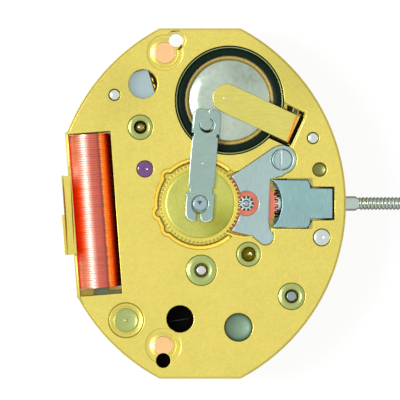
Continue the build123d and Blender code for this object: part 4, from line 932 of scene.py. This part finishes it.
BUSH_RIM = [(0, 0.05), (-0.05, 0), (-0.10, 0.02), (-0.14, 0.06)]
BUSH_FACE = [(0.40, 0.085), (0.12, 0.10), (0.07, 0.04), (0, 0.02)]
BUSH_SEAT = [(0.36, 0.04), (0.30, -0.02), (0.22, 0.01), (0.05, 0.12)]


def add_bush():
    """Adjusting bush in its round seat, with a hollow face and a bright centre."""
    box = corners_of("adjusting_bush")
    base, top = levels_of("adjusting_bush")
    radius, place = half_width(box), middle(box)
    edge = outline(radius, top, BUSH_RIM) + outline(0, top, BUSH_FACE)
    parts = [(rounded_profile(standing(base, edge), FINE_ROUND), place)]
    turned_piece("bush_fine", parts, "frame", "gilt_tube", replaced=["adjusting_bush"])
    turned_piece("bush_seat", [(outline(radius, top, BUSH_SEAT), place)], "frame", "gilt_bridge")


JEWEL_RIM = [(0, 0.12), (-0.10, 0.05)]
JEWEL_FACE = [(0.32, 0.01), (0.22, 0)]
JEWEL_CUP = [(0.16, 0.02), (0.10, 0.05), (0.05, 0.07), (0, 0.075)]


def add_jewel():
    """Domed upper jewel with its oil cup."""
    box = corners_of("rotor_upper_jewel")
    base, top = levels_of("rotor_upper_jewel")
    edge = outline(half_width(box), top, JEWEL_RIM) + outline(0, top, JEWEL_FACE)
    profile = rounded_profile(standing(base, edge), SOFT_ROUND) + outline(0, top, JEWEL_CUP)
    turned_piece("jewel_fine", [(profile, middle(box))], "frame", "jewel", replaced=["rotor_upper_jewel"])


# The cell: its cap, gasket and insulating ring
CELL_SEGMENTS = 160
CAP_RADIUS = 2.80
CAP_SHOULDER = 0.30
CAP_FACE_RADIUS = 2.78
CAP_CROWN = 0.26
CAP_FLAT_SHARE = 0.68
CAP_STEPS = 10
GASKET = [(2.80, 0.3), (2.80, 0.12), (2.88, 0.02), (2.95, 0), (3.01, 0.03), (3.02, 0.3)]
RING_ROUND_STEPS = 3
RING_RIM = [
    (0, 0.08), (-0.02, 0.03), (-0.06, 0), (-0.10, 0.03),
    (-0.12, 0.09), (-0.17, 0.09), (-0.22, 0.05), (-0.30, 0.02),
]
RING_BORE = [(3.22, 0.02), (3.10, 0.05), (3.03, 0.09), (3.46, 0.095)]


def cap_profile(base, top):
    """The cap: a low crown that falls away towards its shoulder."""
    edge = [(CAP_RADIUS, top - CAP_SHOULDER)]
    for step in range(CAP_STEPS, -1, -1):
        share = step / CAP_STEPS
        radius = CAP_FACE_RADIUS * (CAP_FLAT_SHARE + (1 - CAP_FLAT_SHARE) * share)
        edge.append((radius, top - CAP_CROWN * share**2))
    return standing(base, edge + [(0, top)])


def add_cell():
    """The cell's cap, its gold-coloured gasket and the dark ring round it, as turned shapes."""
    place = middle(corners_of("cell_cap"))
    low, high = corners_of("cell_insulating_ring")
    base, top = levels_of("cell_insulating_ring")
    outer = (high.x - low.x) / 2 / MM
    bore = outline(0, top, RING_BORE)
    ring = [(outer, base)] + outline(outer, top, RING_RIM) + bore + [(bore[-1][0], base), (outer, base)]
    ring = rounded_profile(ring, FINE_ROUND, RING_ROUND_STEPS)
    gasket = rounded_profile(outline(0, levels_of("cell_gasket")[1], GASKET), SOFT_ROUND)
    for name, profile, slot, node in (
        ("cell_cap_fine", cap_profile(*levels_of("cell_cap")), "cell_steel", "cell_cap"),
        ("gasket_fine", gasket, "gasket", "cell_gasket"),
        ("cell_ring_fine", ring, "dark_plastic", "cell_insulating_ring"),
    ):
        turned_piece(name, [(profile, place)], "frame", slot, replaced=[node], segments=CELL_SEGMENTS)


# The centre wheel's raised face, and floors, seats and joints that have no solid of their own
WHEEL_FACE = [(0, 0.02), (2.36, 0.02), (2.36, 0), (2.28, -0.035), (2.20, -0.04), (0.6, -0.03), (0, -0.03)]
BLIND_HOLE_PIXEL = (319.6, 169.6)
# The blind hole's floor, in a darker gilt as painted shade
BLIND_FLOOR = [(0.485, 2.48), (0.42, 2.40), (0.32, 2.35), (0.16, 2.32), (0, 2.31)]
ROUND_HOLE_PIXEL = (238.5, 327.2)
ROUND_CUP = [(0.965, 2.72), (0.94, 2.58), (0.84, 2.44), (0.66, 2.33), (0.44, 2.27), (0.2, 2.24), (0, 2.235)]
PINION_SHADE = [(0.50, 2.29), (0.50, 2.32), (0.2, 2.325), (0, 2.325)]
POST_TIP = [(0, 2.70), (0.20, 2.70), (0.20, 2.80), (0.14, 2.816), (0, 2.82)]
AXLE_SEAT = [(0.725, 2.76), (0.75, 2.785), (0.785, 2.799), (0.80, 2.78)]
RING_LINE = [(3.57, 2.50), (3.58, 2.522), (3.61, 2.53), (3.64, 2.522), (3.65, 2.50)]
PIN_JOINT = [(-0.10, 0.14), (0, 0.10)]


def add_wheel_face():
    """The centre wheel's raised inner face, turned with fine rings."""
    face = rounded_profile(outline(0, levels_of("centre_wheel")[1], WHEEL_FACE), SOFT_ROUND)
    turned_piece("wheel_face", [(face, (0.0, 0.0))], "centre", "wheel_brass", "wheel_face", segments=128)


def add_hollows():
    """Floors seen in the holes, hollow like drawn cups, the blind hole's in a darker gilt as painted shade,
    a dark disc under the pinion as painted shade, and the seats round the post and the axle.
    """
    post = middle(corners_of("setting_post"))
    axle = middle(corners_of("setting_lever_axle"))
    for name, profile, place, body, slot, material in (
        ("blind_floor", BLIND_FLOOR, on_photo(*BLIND_HOLE_PIXEL), "frame", "gilt_bridge", "hole_shade_gilt"),
        ("round_cup", ROUND_CUP, on_photo(*ROUND_HOLE_PIXEL), "frame", "crystal_steel", "cup_steel"),
        ("pinion_shade", PINION_SHADE, post, "setting", "steel_bright", "slate"),
        ("post_tip", POST_TIP, post, "frame", "steel_bright", "arbor_steel"),
        ("axle_seat", AXLE_SEAT, axle, "frame", "steel_cover", None),
    ):
        turned_piece(name, [(profile, place)], body, slot, material)
    line = [(RING_LINE, middle(corners_of("cell_cap")))]
    turned_piece("ring_line", line, "frame", "dark_plastic", "pale_ring", segments=CELL_SEGMENTS)
    joints = []
    for box in loose_boxes("steady_pins") + [corners_of("stop_pin")]:
        joints.append((outline(half_width(box), box[1].z / MM, PIN_JOINT), middle(box)))
    turned_piece("pin_joints", joints, "frame", "steel_bright", "shade")


# Copper discs, notched where the dial's feet come through

FOOT_PIXELS = ((175.7, 39.5), (163.4, 360.4))
FOOT_HOLE = 0.50
DRILL_REACH = 10.0
DRILL_SEGMENTS = 64
DISC_SINK = 0.04
DISC_HEIGHT = 0.10
DISC_RIM = [(0, 0.02), (-0.04, 0)]
LAND_WIDTH = 0.27
LAND_GAP = 0.01
LAND_TOP = [(0.04, 0.01), (LAND_GAP, 0.01)]


def cut_round(mesh, place, radius):
    """The mesh with an upright round hole cut right through it."""
    drill = bmesh.new()
    bit = [(0, -DRILL_REACH), (radius, -DRILL_REACH), (radius, DRILL_REACH), (0, DRILL_REACH)]
    lathe_faces(drill, bit, place, DRILL_SEGMENTS)
    face_outward(drill)
    drill_mesh = bpy.data.meshes.new("drill")
    drill.to_mesh(drill_mesh)
    drill.free()
    solid = bpy.data.objects.new("drilled", mesh)
    tool = bpy.data.objects.new("drill", drill_mesh)
    for item in (solid, tool):
        bpy.context.scene.collection.objects.link(item)
    cut = solid.modifiers.new("cut", "BOOLEAN")
    cut.operation = "DIFFERENCE"
    cut.object = tool
    cut.solver = "EXACT"
    graph = bpy.context.evaluated_depsgraph_get()
    result = bpy.data.meshes.new_from_object(solid.evaluated_get(graph))
    for item in (solid, tool):
        bpy.data.objects.remove(item)
    return result


def notched_piece(name, profile, place, foot_pixel, slot, replaced):
    """A turned shape with the dial foot's round notch in it."""
    work = bmesh.new()
    lathe_faces(work, profile, place)
    bmesh.ops.remove_doubles(work, verts=work.verts, dist=WELD)
    face_outward(work)
    solid = bpy.data.meshes.new("solid")
    work.to_mesh(solid)
    work.free()
    work = bmesh.new()
    work.from_mesh(cut_round(solid, on_photo(*foot_pixel), FOOT_HOLE))
    link_piece(name, work, SHARP_CUT, "frame", slot, replaced=replaced)


def add_discs():
    """The two copper discs and the coned lands round them."""
    boxes = sorted(loose_boxes("dial_grip_discs"), key=lambda box: -box[0].y)
    for index, ((low, high), foot_pixel) in enumerate(zip(boxes, FOOT_PIXELS)):
        radius = (high.x - low.x) / 2 / MM
        place = ((low.x + high.x) / 2, high.y - radius * MM if index else low.y + radius * MM)
        base, floor = low.z / MM, high.z / MM - DISC_SINK
        top = floor + DISC_HEIGHT
        disc = standing(base, outline(radius, top, DISC_RIM) + [(0, top)])
        foot = (radius + LAND_GAP, base)
        land_radius = radius + LAND_WIDTH
        land = [foot, (land_radius, base), (land_radius, floor)] + outline(radius, top, LAND_TOP) + [foot]
        notched_piece("grip_disc_%d" % index, disc, place, foot_pixel, "copper_disc", ["dial_grip_discs"])
        notched_piece("grip_land_%d" % index, land, place, foot_pixel, "gilt_bridge", [])


# Coil

WIRE_TURNS = 66
WIRE_STEPS = 48
WIRE_SIDES = 6
WIRE_SINK = 1.17
WIRE_SWELL = 0.16
SWELL_PERIODS = (5.3, 1.7)
DRUM_SINK = 1.9


def wire_rings(work, place, outer, length, wire):
    """The wire's sections, turn by turn along the drum, with a slight unevenness."""
    rings = []
    total = WIRE_TURNS * WIRE_STEPS
    for step in range(total + 1):
        turned = 2 * math.pi * step / WIRE_STEPS
        along = -length / 2 + wire + (length - 2 * wire) * step / total
        swell = math.sin(turned / SWELL_PERIODS[0]) * math.sin(turned / SWELL_PERIODS[1])
        radius = outer - WIRE_SINK * wire + WIRE_SWELL * wire * swell
        ring = []
        for out, beside in circle(wire, WIRE_SIDES):
            reach = radius + out
            spot = Vector((reach * math.cos(turned), along + beside, reach * math.sin(turned)))
            ring.append(work.verts.new(place @ spot))
        rings.append(ring)
    return rings


def add_coil():
    """The fine winding: a drum with one wire wound tightly over it from end to end."""
    outer, length = coil_size()
    wire = length / (WIRE_TURNS + 1) / 2
    place = coil_frame()
    work = bmesh.new()
    skin_rings(work, wire_rings(work, place, outer, length, wire))
    ends = []
    for along in (-length / 2, length / 2):
        corners = circle(outer - DRUM_SINK * wire, WIRE_STEPS)
        ends.append([work.verts.new(place @ Vector((x, along, z))) for x, z in corners])
    skin_rings(work, ends)
    for end in ends:
        work.faces.new(end)
    face_outward(work)
    replaced = ["coil_winding", "coil_outer_layer"]
    link_piece("coil_turns", work, SHARP_SOFT, "frame", "copper_wire", replaced=replaced)


TROUGH_GAP = 0.015 * MM
TROUGH_STEPS = 24
TROUGH_EDGE_SHARE = 0.10
SLOT_HALF = 1.437 * MM


def add_coil_trough():
    """The red lacquered trough that the winding lies in, just clear of it."""
    outer, length = coil_size()
    place = coil_frame()
    reach = outer + TROUGH_GAP
    edge = TROUGH_EDGE_SHARE * outer
    section = [(-SLOT_HALF, edge)]
    for step in range(TROUGH_STEPS + 1):
        angle = math.pi + math.pi * step / TROUGH_STEPS
        section.append((reach * math.cos(angle), reach * math.sin(angle)))
    section.append((SLOT_HALF, edge))
    work = bmesh.new()
    rows = []
    for along in (-length / 2, length / 2):
        rows.append([work.verts.new(place @ Vector((x, along, z))) for x, z in section])
    join_rows(work, *rows)
    link_piece("coil_trough", work, SHARP_SOFT, "frame", "black_plastic", "red_lacquer")


# Stem with its thread

THREAD_PITCH = 0.25 * MM
THREAD_DEPTH = 0.09 * MM
THREAD_STEPS = 12
THREAD_FLANK = 2.2
LAST_TURN_SHARE = 0.6
STEM_SIDES = 48
STEM_EDGE = 0.03 * MM
RELIEF_SLOPE = 5 * STEM_EDGE
THREAD_FADE = 3 * STEM_EDGE
SQUARE_START, SHOULDER_PLACE, NECK_PLACE = 1.02 * MM, 2.42 * MM, 2.58 * MM
NECK_LENGTH, RELIEF_LENGTH, THREADED_LENGTH = 0.30 * MM, 0.10 * MM, 7.20 * MM
PIVOT_RADIUS, SQUARE_RADIUS, SHAFT_RADIUS = 0.22 * MM, 0.31 * MM, 0.50 * MM
NECK_RADIUS, RELIEF_RADIUS, THREAD_RADIUS = 0.25 * MM, 0.38 * MM, 0.45 * MM


def plain_rows(low, relief):
    """Stations of the unthreaded length as (place along the stem, radius)."""
    square, shoulder, neck = low + SQUARE_START, low + SHOULDER_PLACE, low + NECK_PLACE
    neck_end = neck + NECK_LENGTH
    edge = STEM_EDGE
    return [
        (low, 0.0), (low, PIVOT_RADIUS - edge), (low + edge, PIVOT_RADIUS),
        (square, PIVOT_RADIUS), (square, SQUARE_RADIUS), (shoulder, SQUARE_RADIUS),
        (shoulder, SHAFT_RADIUS - edge), (shoulder + edge, SHAFT_RADIUS),
        (neck - edge, SHAFT_RADIUS), (neck, SHAFT_RADIUS - edge),
        (neck, NECK_RADIUS), (neck_end, NECK_RADIUS),
        (neck_end, SHAFT_RADIUS - edge), (neck_end + edge, SHAFT_RADIUS),
        (relief - RELIEF_SLOPE, SHAFT_RADIUS), (relief, RELIEF_RADIUS),
        (relief + RELIEF_LENGTH, RELIEF_RADIUS),
    ]


def stem_rows(low, high):
    """Stations along the stem as (place, radius at the root, radius at the crest)."""
    relief = high - THREADED_LENGTH
    start = relief + RELIEF_LENGTH
    rows = [(x, radius, radius) for x, radius in plain_rows(low, relief)]
    for step in range(1, int((high - start) / THREAD_PITCH * THREAD_STEPS)):
        x = start + step * THREAD_PITCH / THREAD_STEPS
        taper = min(1.0, (high - x) / THREAD_FADE)
        crest = THREAD_RADIUS - (1 - taper) * THREAD_DEPTH * LAST_TURN_SHARE
        rows.append((x, crest - THREAD_DEPTH, crest))
    root = THREAD_RADIUS - THREAD_DEPTH
    return rows + [(high, root, root), (high, 0.0, 0.0)]


def stem_ring(work, x, root, crest, level):
    """One section of the stem, its corners between root and crest as the thread runs round."""
    ring = []
    for side in range(STEM_SIDES):
        angle = 2 * math.pi * side / STEM_SIDES
        wave = (x / THREAD_PITCH - side / STEM_SIDES) % 1.0
        radius = root + (crest - root) * min(1.0, THREAD_FLANK * min(wave, 1.0 - wave))
        ring.append(work.verts.new((x, radius * math.cos(angle), level + radius * math.sin(angle))))
    return ring


def add_stem():
    """The stem as one turned mesh: pivot, square, groove, collar and a cut thread."""
    low, high = corners_of("stem")
    level = (low.z + high.z) / 2
    work = bmesh.new()
    skin_rings(work, [stem_ring(work, *row, level) for row in stem_rows(low.x, high.x)])
    bmesh.ops.remove_doubles(work, verts=work.verts, dist=WELD / 2)
    face_outward(work)
    link_piece("stem_turned", work, SHARP_THREAD, "winding_stem", "steel_bright", "stem_steel", ["stem"])


# The scalloped recess round the centre wheel

LINE_RADIUS = 0.028 * MM
LINE_SIDES = 6
# The lip's section: distance into the recess from its rim, and height
LIP = [(-0.01, 2.848), (0.03, 2.80), (0.07, 2.79), (0.14, 2.80), (0.20, 2.775), (0.26, 2.70), (0.31, 2.56)]
RECESS_INNER = 2.8 * MM
RECESS_LEFT_OUTER = 3.72 * MM
RECESS_RIGHT_OUTER = 3.3 * MM
RECESS_END = 2.3 * MM
RECESS_BREAK = 1.2 * MM


def by_recess(place):
    """Whether a corner of the bridge belongs to the recess's rim."""
    outer = RECESS_LEFT_OUTER if place.x < 0 else RECESS_RIGHT_OUTER
    return RECESS_INNER < place.xy.length < outer and place.x < RECESS_END


def recess_run():
    """The corners of the recess's rim round the centre wheel, in order, and their inward moves."""
    work = welded("bridge_plate")
    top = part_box("bridge_plate")[1][2]
    found = []
    for loop in flat_loops(work, top, 1)[1]:
        places = [corner.co.copy() for corner in loop]
        moves = inward(places, 1)
        near = [by_recess(place) for place in places]
        if sum(near) > len(found):
            count = len(places)
            start = next(index for index in range(count) if near[index] and not near[index - 1])
            order = [(start + step) % count for step in range(count)]
            found = [(places[index], moves[index]) for index in order if near[index]]
    work.free()
    return found


def unbroken(run):
    """The stretches of a run, parted where a neighbour is far off, as lists of numbers in it."""
    stretches = [[0]]
    for index in range(1, len(run)):
        if (run[index][0] - run[index - 1][0]).length > RECESS_BREAK:
            stretches.append([])
        stretches[-1].append(index)
    return stretches


def swept(work, points, radii, sides=8):
    """A round bar along level points whose radius may change from point to point."""
    rings = []
    last = len(points) - 1
    for index, (point, radius) in enumerate(zip(points, radii)):
        along = (points[min(index + 1, last)] - points[max(index - 1, 0)]).normalized()
        aside = along.cross(UP).normalized()
        above = aside.cross(along)
        ring = []
        for out, rise in circle(1.0, sides):
            ring.append(work.verts.new(point + (aside * out + above * rise) * radius))
        rings.append(ring)
    skin_rings(work, rings)
    work.faces.new(rings[0])
    work.faces.new(rings[-1])


def add_recess_lip():
    """A rolled lip inside the recess, lighter as painted light, and the amber line along its rim."""
    run = recess_run()
    stretches = unbroken(run)
    work = bmesh.new()
    rows = []
    for aside, height in LIP:
        spots = [place - move * aside * MM for place, move in run]
        rows.append([work.verts.new((spot.x, spot.y, height * MM)) for spot in spots])
    for upper, lower in zip(rows, rows[1:]):
        for stretch in stretches:
            join_rows(work, [upper[index] for index in stretch], [lower[index] for index in stretch])
    link_piece("recess_lip", work, SHARP_SOFT, "frame", "gilt_bridge", "lit_gilt")
    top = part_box("bridge_plate")[1][2]
    line = bmesh.new()
    for stretch in stretches:
        if len(stretch) > 2:
            points = [Vector((*run[index][0].xy, top)) for index in stretch]
            swept(line, points, [LINE_RADIUS] * len(points), LINE_SIDES)
    face_outward(line)
    link_piece("recess_line", line, SHARP_SOFT, "frame", "gilt_bridge", "amber_gilt")


# Marks: painted shade in slots, dark joints, painted highlights and glints whose places come from the
# photograph

BEAD_END_SHARE = 0.35
CONE_TOP = loose_boxes("tube_pins")[2][1].z / MM


def bead(name, pixels, height, radius, slot, material):
    """A thin tapered bead along places of the photograph, at a height in millimetres."""
    work = bmesh.new()
    points = [Vector((*on_photo(*pixel), height * MM)) for pixel in pixels]
    last = len(points) - 1
    radii = []
    for index in range(last + 1):
        swell = math.sin(math.pi * index / last)
        radii.append(radius * MM * (BEAD_END_SHARE + (1 - BEAD_END_SHARE) * swell))
    swept(work, points, radii)
    face_outward(work)
    link_piece(name, work, SHARP_SOFT, "frame", slot, material)


def thin_plate(name, pixels, height, thickness, slot, material, body="frame"):
    """A thin plate whose outline is given on the photograph, its top at a height in millimetres."""
    work = bmesh.new()
    rings = []
    for level in (height, height - thickness):
        rings.append([work.verts.new((*on_photo(*pixel), level * MM)) for pixel in pixels])
        work.faces.new(rings[-1])
    skin_rings(work, rings)
    face_outward(work)
    link_piece(name, work, SHARP_SHEET, body, slot, material)


def arc(centre, radius, start, end, steps=12):
    """Places on the photograph along a circle, the angles in degrees counted from the right upwards."""
    places = []
    for step in range(steps + 1):
        angle = math.radians(start + (end - start) * step / steps)
        places.append((centre[0] + radius * math.cos(angle), centre[1] - radius * math.sin(angle)))
    return places


# Kinds of marks: height of the top or the middle, thickness or radius in millimetres, slot, material
# The arm's slots are filled with dark plates as painted shade.
ARM_SLOT_SHADE = (2.20, 1.31, "black_plastic", "shade")
ARM_STEEL = (2.21, 1.32, "steel_cover", "slate")
WINDOW_LIP = (2.56, 0.075, "steel_cover", "slate")
ARBOR_MARK = (3.052, 0.05, "steel_bright", "slate")
STRAP_GLINT = (2.99, 0.04, "steel_cover", "glint_steel")
STRAP_TIP_GLINT = (2.99, 0.035, "steel_cover", "glint_steel")
CONTACT_GLINT = (2.175, 0.05, "gilt_bridge", "lit_gilt")

ARBOR_NOTCH = [(196.9, 200.8), (202.5, 200.8), (199.7, 205.0)]
# Painted highlights on the arm's and the strap's dimples and on the cone, and the strap's hook
SMALL_BEADS = {
    "arm_dimple_glint": (
        [(223.2, 98.0), (224.2, 98.0), (225.4, 98.1)],
        (2.835, 0.06, "gilt_spring", "glint_steel"),
    ),
    "strap_dimple_glint": (
        [(201.8, 163.4), (202.8, 163.5), (203.8, 163.6)],
        (3.0, 0.045, "steel_cover", "glint_steel"),
    ),
    "cone_glint": (
        [(249.2, 252.4), (250.6, 253.4), (252.0, 255.2)],
        (CONE_TOP - 0.10, 0.10, "steel_bright", "glint_steel"),
    ),
    "strap_hook": (
        [(209.0, 113.4), (209.6, 111.2), (211.0, 109.8), (213.0, 109.0), (214.0, 109.2)],
        (2.98, 0.06, "steel_cover", "polished_steel"),
    ),
}
THIN_PLATES = {
    "contact_shade": (arc((143.1, 84.0), 14.0, 66, -32), (2.17, 0.08, "black_plastic", "shade")),
    "window_lip_upper": (
        [(272.6, 180.0), (275.5, 180.6), (279.6, 187.5), (281.2, 193.0), (276.4, 188.6), (273.2, 184.6)],
        WINDOW_LIP,
    ),
    "window_lip_lower": (
        [(272.8, 227.6), (273.4, 221.5), (276.6, 218.0), (281.2, 214.4), (279.6, 220.4), (275.6, 227.4)],
        WINDOW_LIP,
    ),
    "arm_end_slot": ([(300.2, 115.4), (304.4, 113.6), (291.8, 145.8), (289.4, 143.0)], ARM_SLOT_SHADE),
    "arm_side_slot": ([(287.4, 104.6), (293.4, 107.2), (292.2, 111.6), (287.0, 109.4)], ARM_SLOT_SHADE),
    "arm_side_steel": ([(294.0, 107.8), (298.4, 109.8), (297.4, 113.6), (293.4, 111.8)], ARM_STEEL),
    "arm_side_dark": ([(299.0, 110.2), (304.4, 112.4), (303.4, 115.0), (298.6, 114.0)], ARM_SLOT_SHADE),
    "arm_lower_slot": (
        [(268.8, 134.6), (287.4, 143.2), (290.6, 146.4), (284.8, 145.8), (268.0, 138.2)],
        ARM_SLOT_SHADE,
    ),
    # The arm's bent end, coloured orange as a painted reflection
    "arm_end_strip": (
        [(296.4, 114.4), (298.6, 115.4), (288.3, 141.6), (286.2, 140.7)],
        (2.833, 0.02, "gilt_spring", "orange_reflection_gilt"),
    ),
}
BEADS = {
    "cover_joint": (
        [
            (275.0, 179.7), (292.0, 179.8), (307.6, 179.9), (311.0, 186.6), (322.0, 187.1),
            (333.2, 187.6), (333.7, 203.0), (333.4, 219.0), (322.0, 220.1), (311.2, 220.9),
            (307.6, 228.6), (292.0, 228.9), (275.0, 228.9),
        ],
        (2.78, 0.06, "black_plastic", "shade"),
    ),
    "strap_glint_a": ([(196.8, 108.2), (195.4, 111.5), (194.2, 120.0), (193.2, 128.6)], STRAP_GLINT),
    "strap_glint_b": ([(194.2, 135.6), (192.7, 140.0), (190.6, 161.4), (188.8, 186.4)], STRAP_GLINT),
    "strap_glint_c": (
        [(187.2, 194.8), (186.4, 204.0), (186.3, 214.4), (188.2, 218.8), (192.4, 221.0), (195.6, 220.2)],
        STRAP_GLINT,
    ),
    "strap_glint_d": (
        [(201.4, 216.4), (202.2, 220.8), (205.8, 221.8), (210.8, 220.2), (212.4, 216.6)],
        STRAP_TIP_GLINT,
    ),
    # A band of painted light
    "cover_band": (
        [(226.2, 232.6), (234.0, 235.6), (244.0, 237.6), (252.6, 236.4)],
        (2.82, 0.10, "gilt_bridge", "lit_gilt"),
    ),
    # Painted highlight along the arm pocket's edge
    "pocket_highlight": (
        [(307.3, 114.8), (302.4, 126.0), (297.4, 137.4), (292.8, 148.2)],
        (2.85, 0.045, "gilt_bridge", "cream_highlight_gilt"),
    ),
    "tab_line": (
        [(62.8, 175.2), (64.4, 200.0), (66.0, 225.0), (67.4, 248.6)],
        (2.68, 0.06, "gilt_plate", "brown_gilt"),
    ),
    "tab_joint": (
        [(70.4, 175.6), (71.7, 200.0), (73.0, 225.0), (74.1, 248.6)],
        (2.68, 0.05, "gilt_plate", "brown_gilt"),
    ),
    # Painted highlights on the far rims of the two dishes
    "dish_highlight_upper": (arc((164.7, 52.7), 13.6, -110, 30), (2.715, 0.06, "gilt_bridge", "lit_gilt")),
    "dish_highlight_lower": (arc((163.4, 346.0), 13.0, -60, 90), (2.715, 0.05, "gilt_bridge", "lit_gilt")),
    "dish_hook": (
        [(176.6, 50.0), (179.2, 48.8), (181.0, 46.6), (181.4, 44.6)],
        (2.73, 0.09, "gilt_bridge", "brown_gilt"),
    ),
    "contact_glint_a": ([(151.6, 77.6), (152.6, 79.6), (153.4, 82.0)], CONTACT_GLINT),
    "contact_glint_b": ([(153.6, 83.6), (154.6, 85.6), (155.0, 88.0)], CONTACT_GLINT),
    "chip_line": ([(170.0, 321.6), (180.0, 320.2), (189.4, 318.4)], (1.995, 0.02, "steel_dark", "slate")),
    # Painted shade along the left side of the axle head's hollow
    "axle_shade_crescent": (arc((282.0, 159.6), 8.4, 120, 235), (2.815, 0.03, "steel_cover", "slate")),
    "arbor_ring": (arc((199.6, 205.4), 8.0, 110, 330), (3.0, 0.035, "steel_bright", "slate")),
}


def add_marks():
    """Glints on dimples, painted shade in slots, joints, painted highlights and glints, each set on or in
    the face that carries it.
    """
    thin_plate("arbor_notch", ARBOR_NOTCH, *ARBOR_MARK, body="centre")
    for name, (pixels, kind) in SMALL_BEADS.items():
        bead(name, pixels, *kind)
    for name, (pixels, kind) in THIN_PLATES.items():
        thin_plate(name, pixels, *kind)
    for name, (pixels, kind) in BEADS.items():
        bead(name, pixels, *kind)


# Surroundings

FLOOR_HALF = 0.6
FLOOR_DROP = 0.5 * MM
FLOOR_GLOW = 1.07
FLOOR_GLOW_SHARE = 0.85
AMBIENT = 0.42
KEY_AZIMUTH = math.radians(176.0)
KEY_ELEVATION = math.radians(48.0)
KEY_WIDTH = math.radians(22.0)
KEY_STRENGTH = 2.0


def seen_rays(tree):
    """1 for rays of the camera, of reflections and of what is seen through, 0 for others."""
    rays = put(tree, "ShaderNodeLightPath")
    seen = math_node(tree, "MAXIMUM", rays.outputs["Is Camera Ray"], rays.outputs["Is Glossy Ray"])
    return math_node(tree, "MAXIMUM", seen, rays.outputs["Is Transmission Ray"])


def floor_material():
    """White paint that the camera sees lit up, and that still takes a soft shadow."""
    tree, shader = new_material("floor_white")
    feed(tree, shader, {"Base Color": (0.9, 0.9, 0.9, 1.0), "Roughness": 0.9})
    glow = put(tree, "ShaderNodeEmission", {"Color": WHITE, "Strength": FLOOR_GLOW})
    share = math_node(tree, "MULTIPLY", seen_rays(tree), FLOOR_GLOW_SHARE)
    mixed = put(tree, "ShaderNodeMixShader", {0: share, 1: shader.outputs[0], 2: glow.outputs[0]})
    feed(tree, tree.nodes["Material Output"], {"Surface": mixed.outputs[0]})
    return MATERIALS["floor_white"]


def add_floor():
    """A white floor just under the hand arbor."""
    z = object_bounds()[0][2] - FLOOR_DROP
    corners = [(x * FLOOR_HALF, y * FLOOR_HALF, z) for x, y in ((-1, -1), (1, -1), (1, 1), (-1, 1))]
    mesh = bpy.data.meshes.new("floor")
    mesh.from_pydata(corners, [], [(0, 1, 2, 3)])
    mesh.materials.append(floor_material())
    floor = bpy.data.objects.new("floor", mesh)
    bpy.context.scene.collection.objects.link(floor)


def add_world():
    """White to the camera and to reflections, and a plain soft light on the object."""
    world = bpy.data.worlds.new("world")
    world.use_nodes = True
    tree = world.node_tree
    strength = spread(tree, seen_rays(tree), 0.0, 1.0, AMBIENT, 1.0)
    feed(tree, tree.nodes["Background"], {"Color": WHITE, "Strength": strength})
    bpy.context.scene.world = world


def add_key_light():
    """A soft distant lamp from the left: its azimuth is counted from +X towards +Y."""
    data = bpy.data.lights.new("key_light", "SUN")
    data.energy = KEY_STRENGTH
    data.angle = KEY_WIDTH
    lamp = bpy.data.objects.new("key_light", data)
    level = math.cos(KEY_ELEVATION)
    x, y = math.cos(KEY_AZIMUTH) * level, math.sin(KEY_AZIMUTH) * level
    toward = Vector((x, y, math.sin(KEY_ELEVATION)))
    lamp.rotation_mode = "QUATERNION"
    lamp.rotation_quaternion = toward.to_track_quat("Z", "Y")
    bpy.context.scene.collection.objects.link(lamp)


add_camera()
make_materials()
dress_cad()
add_coil()
add_stem()
add_tubes()
add_tube_pins()
add_steady_pins()
add_stop_pin()
add_bush()
add_jewel()
add_cell()
add_discs()
add_wheel_face()
add_hollows()
add_recess_lip()
add_coil_trough()
add_marks()
add_softened()
add_floor()
add_world()
add_key_light()
bpy.context.scene.view_settings.view_transform = "Standard"
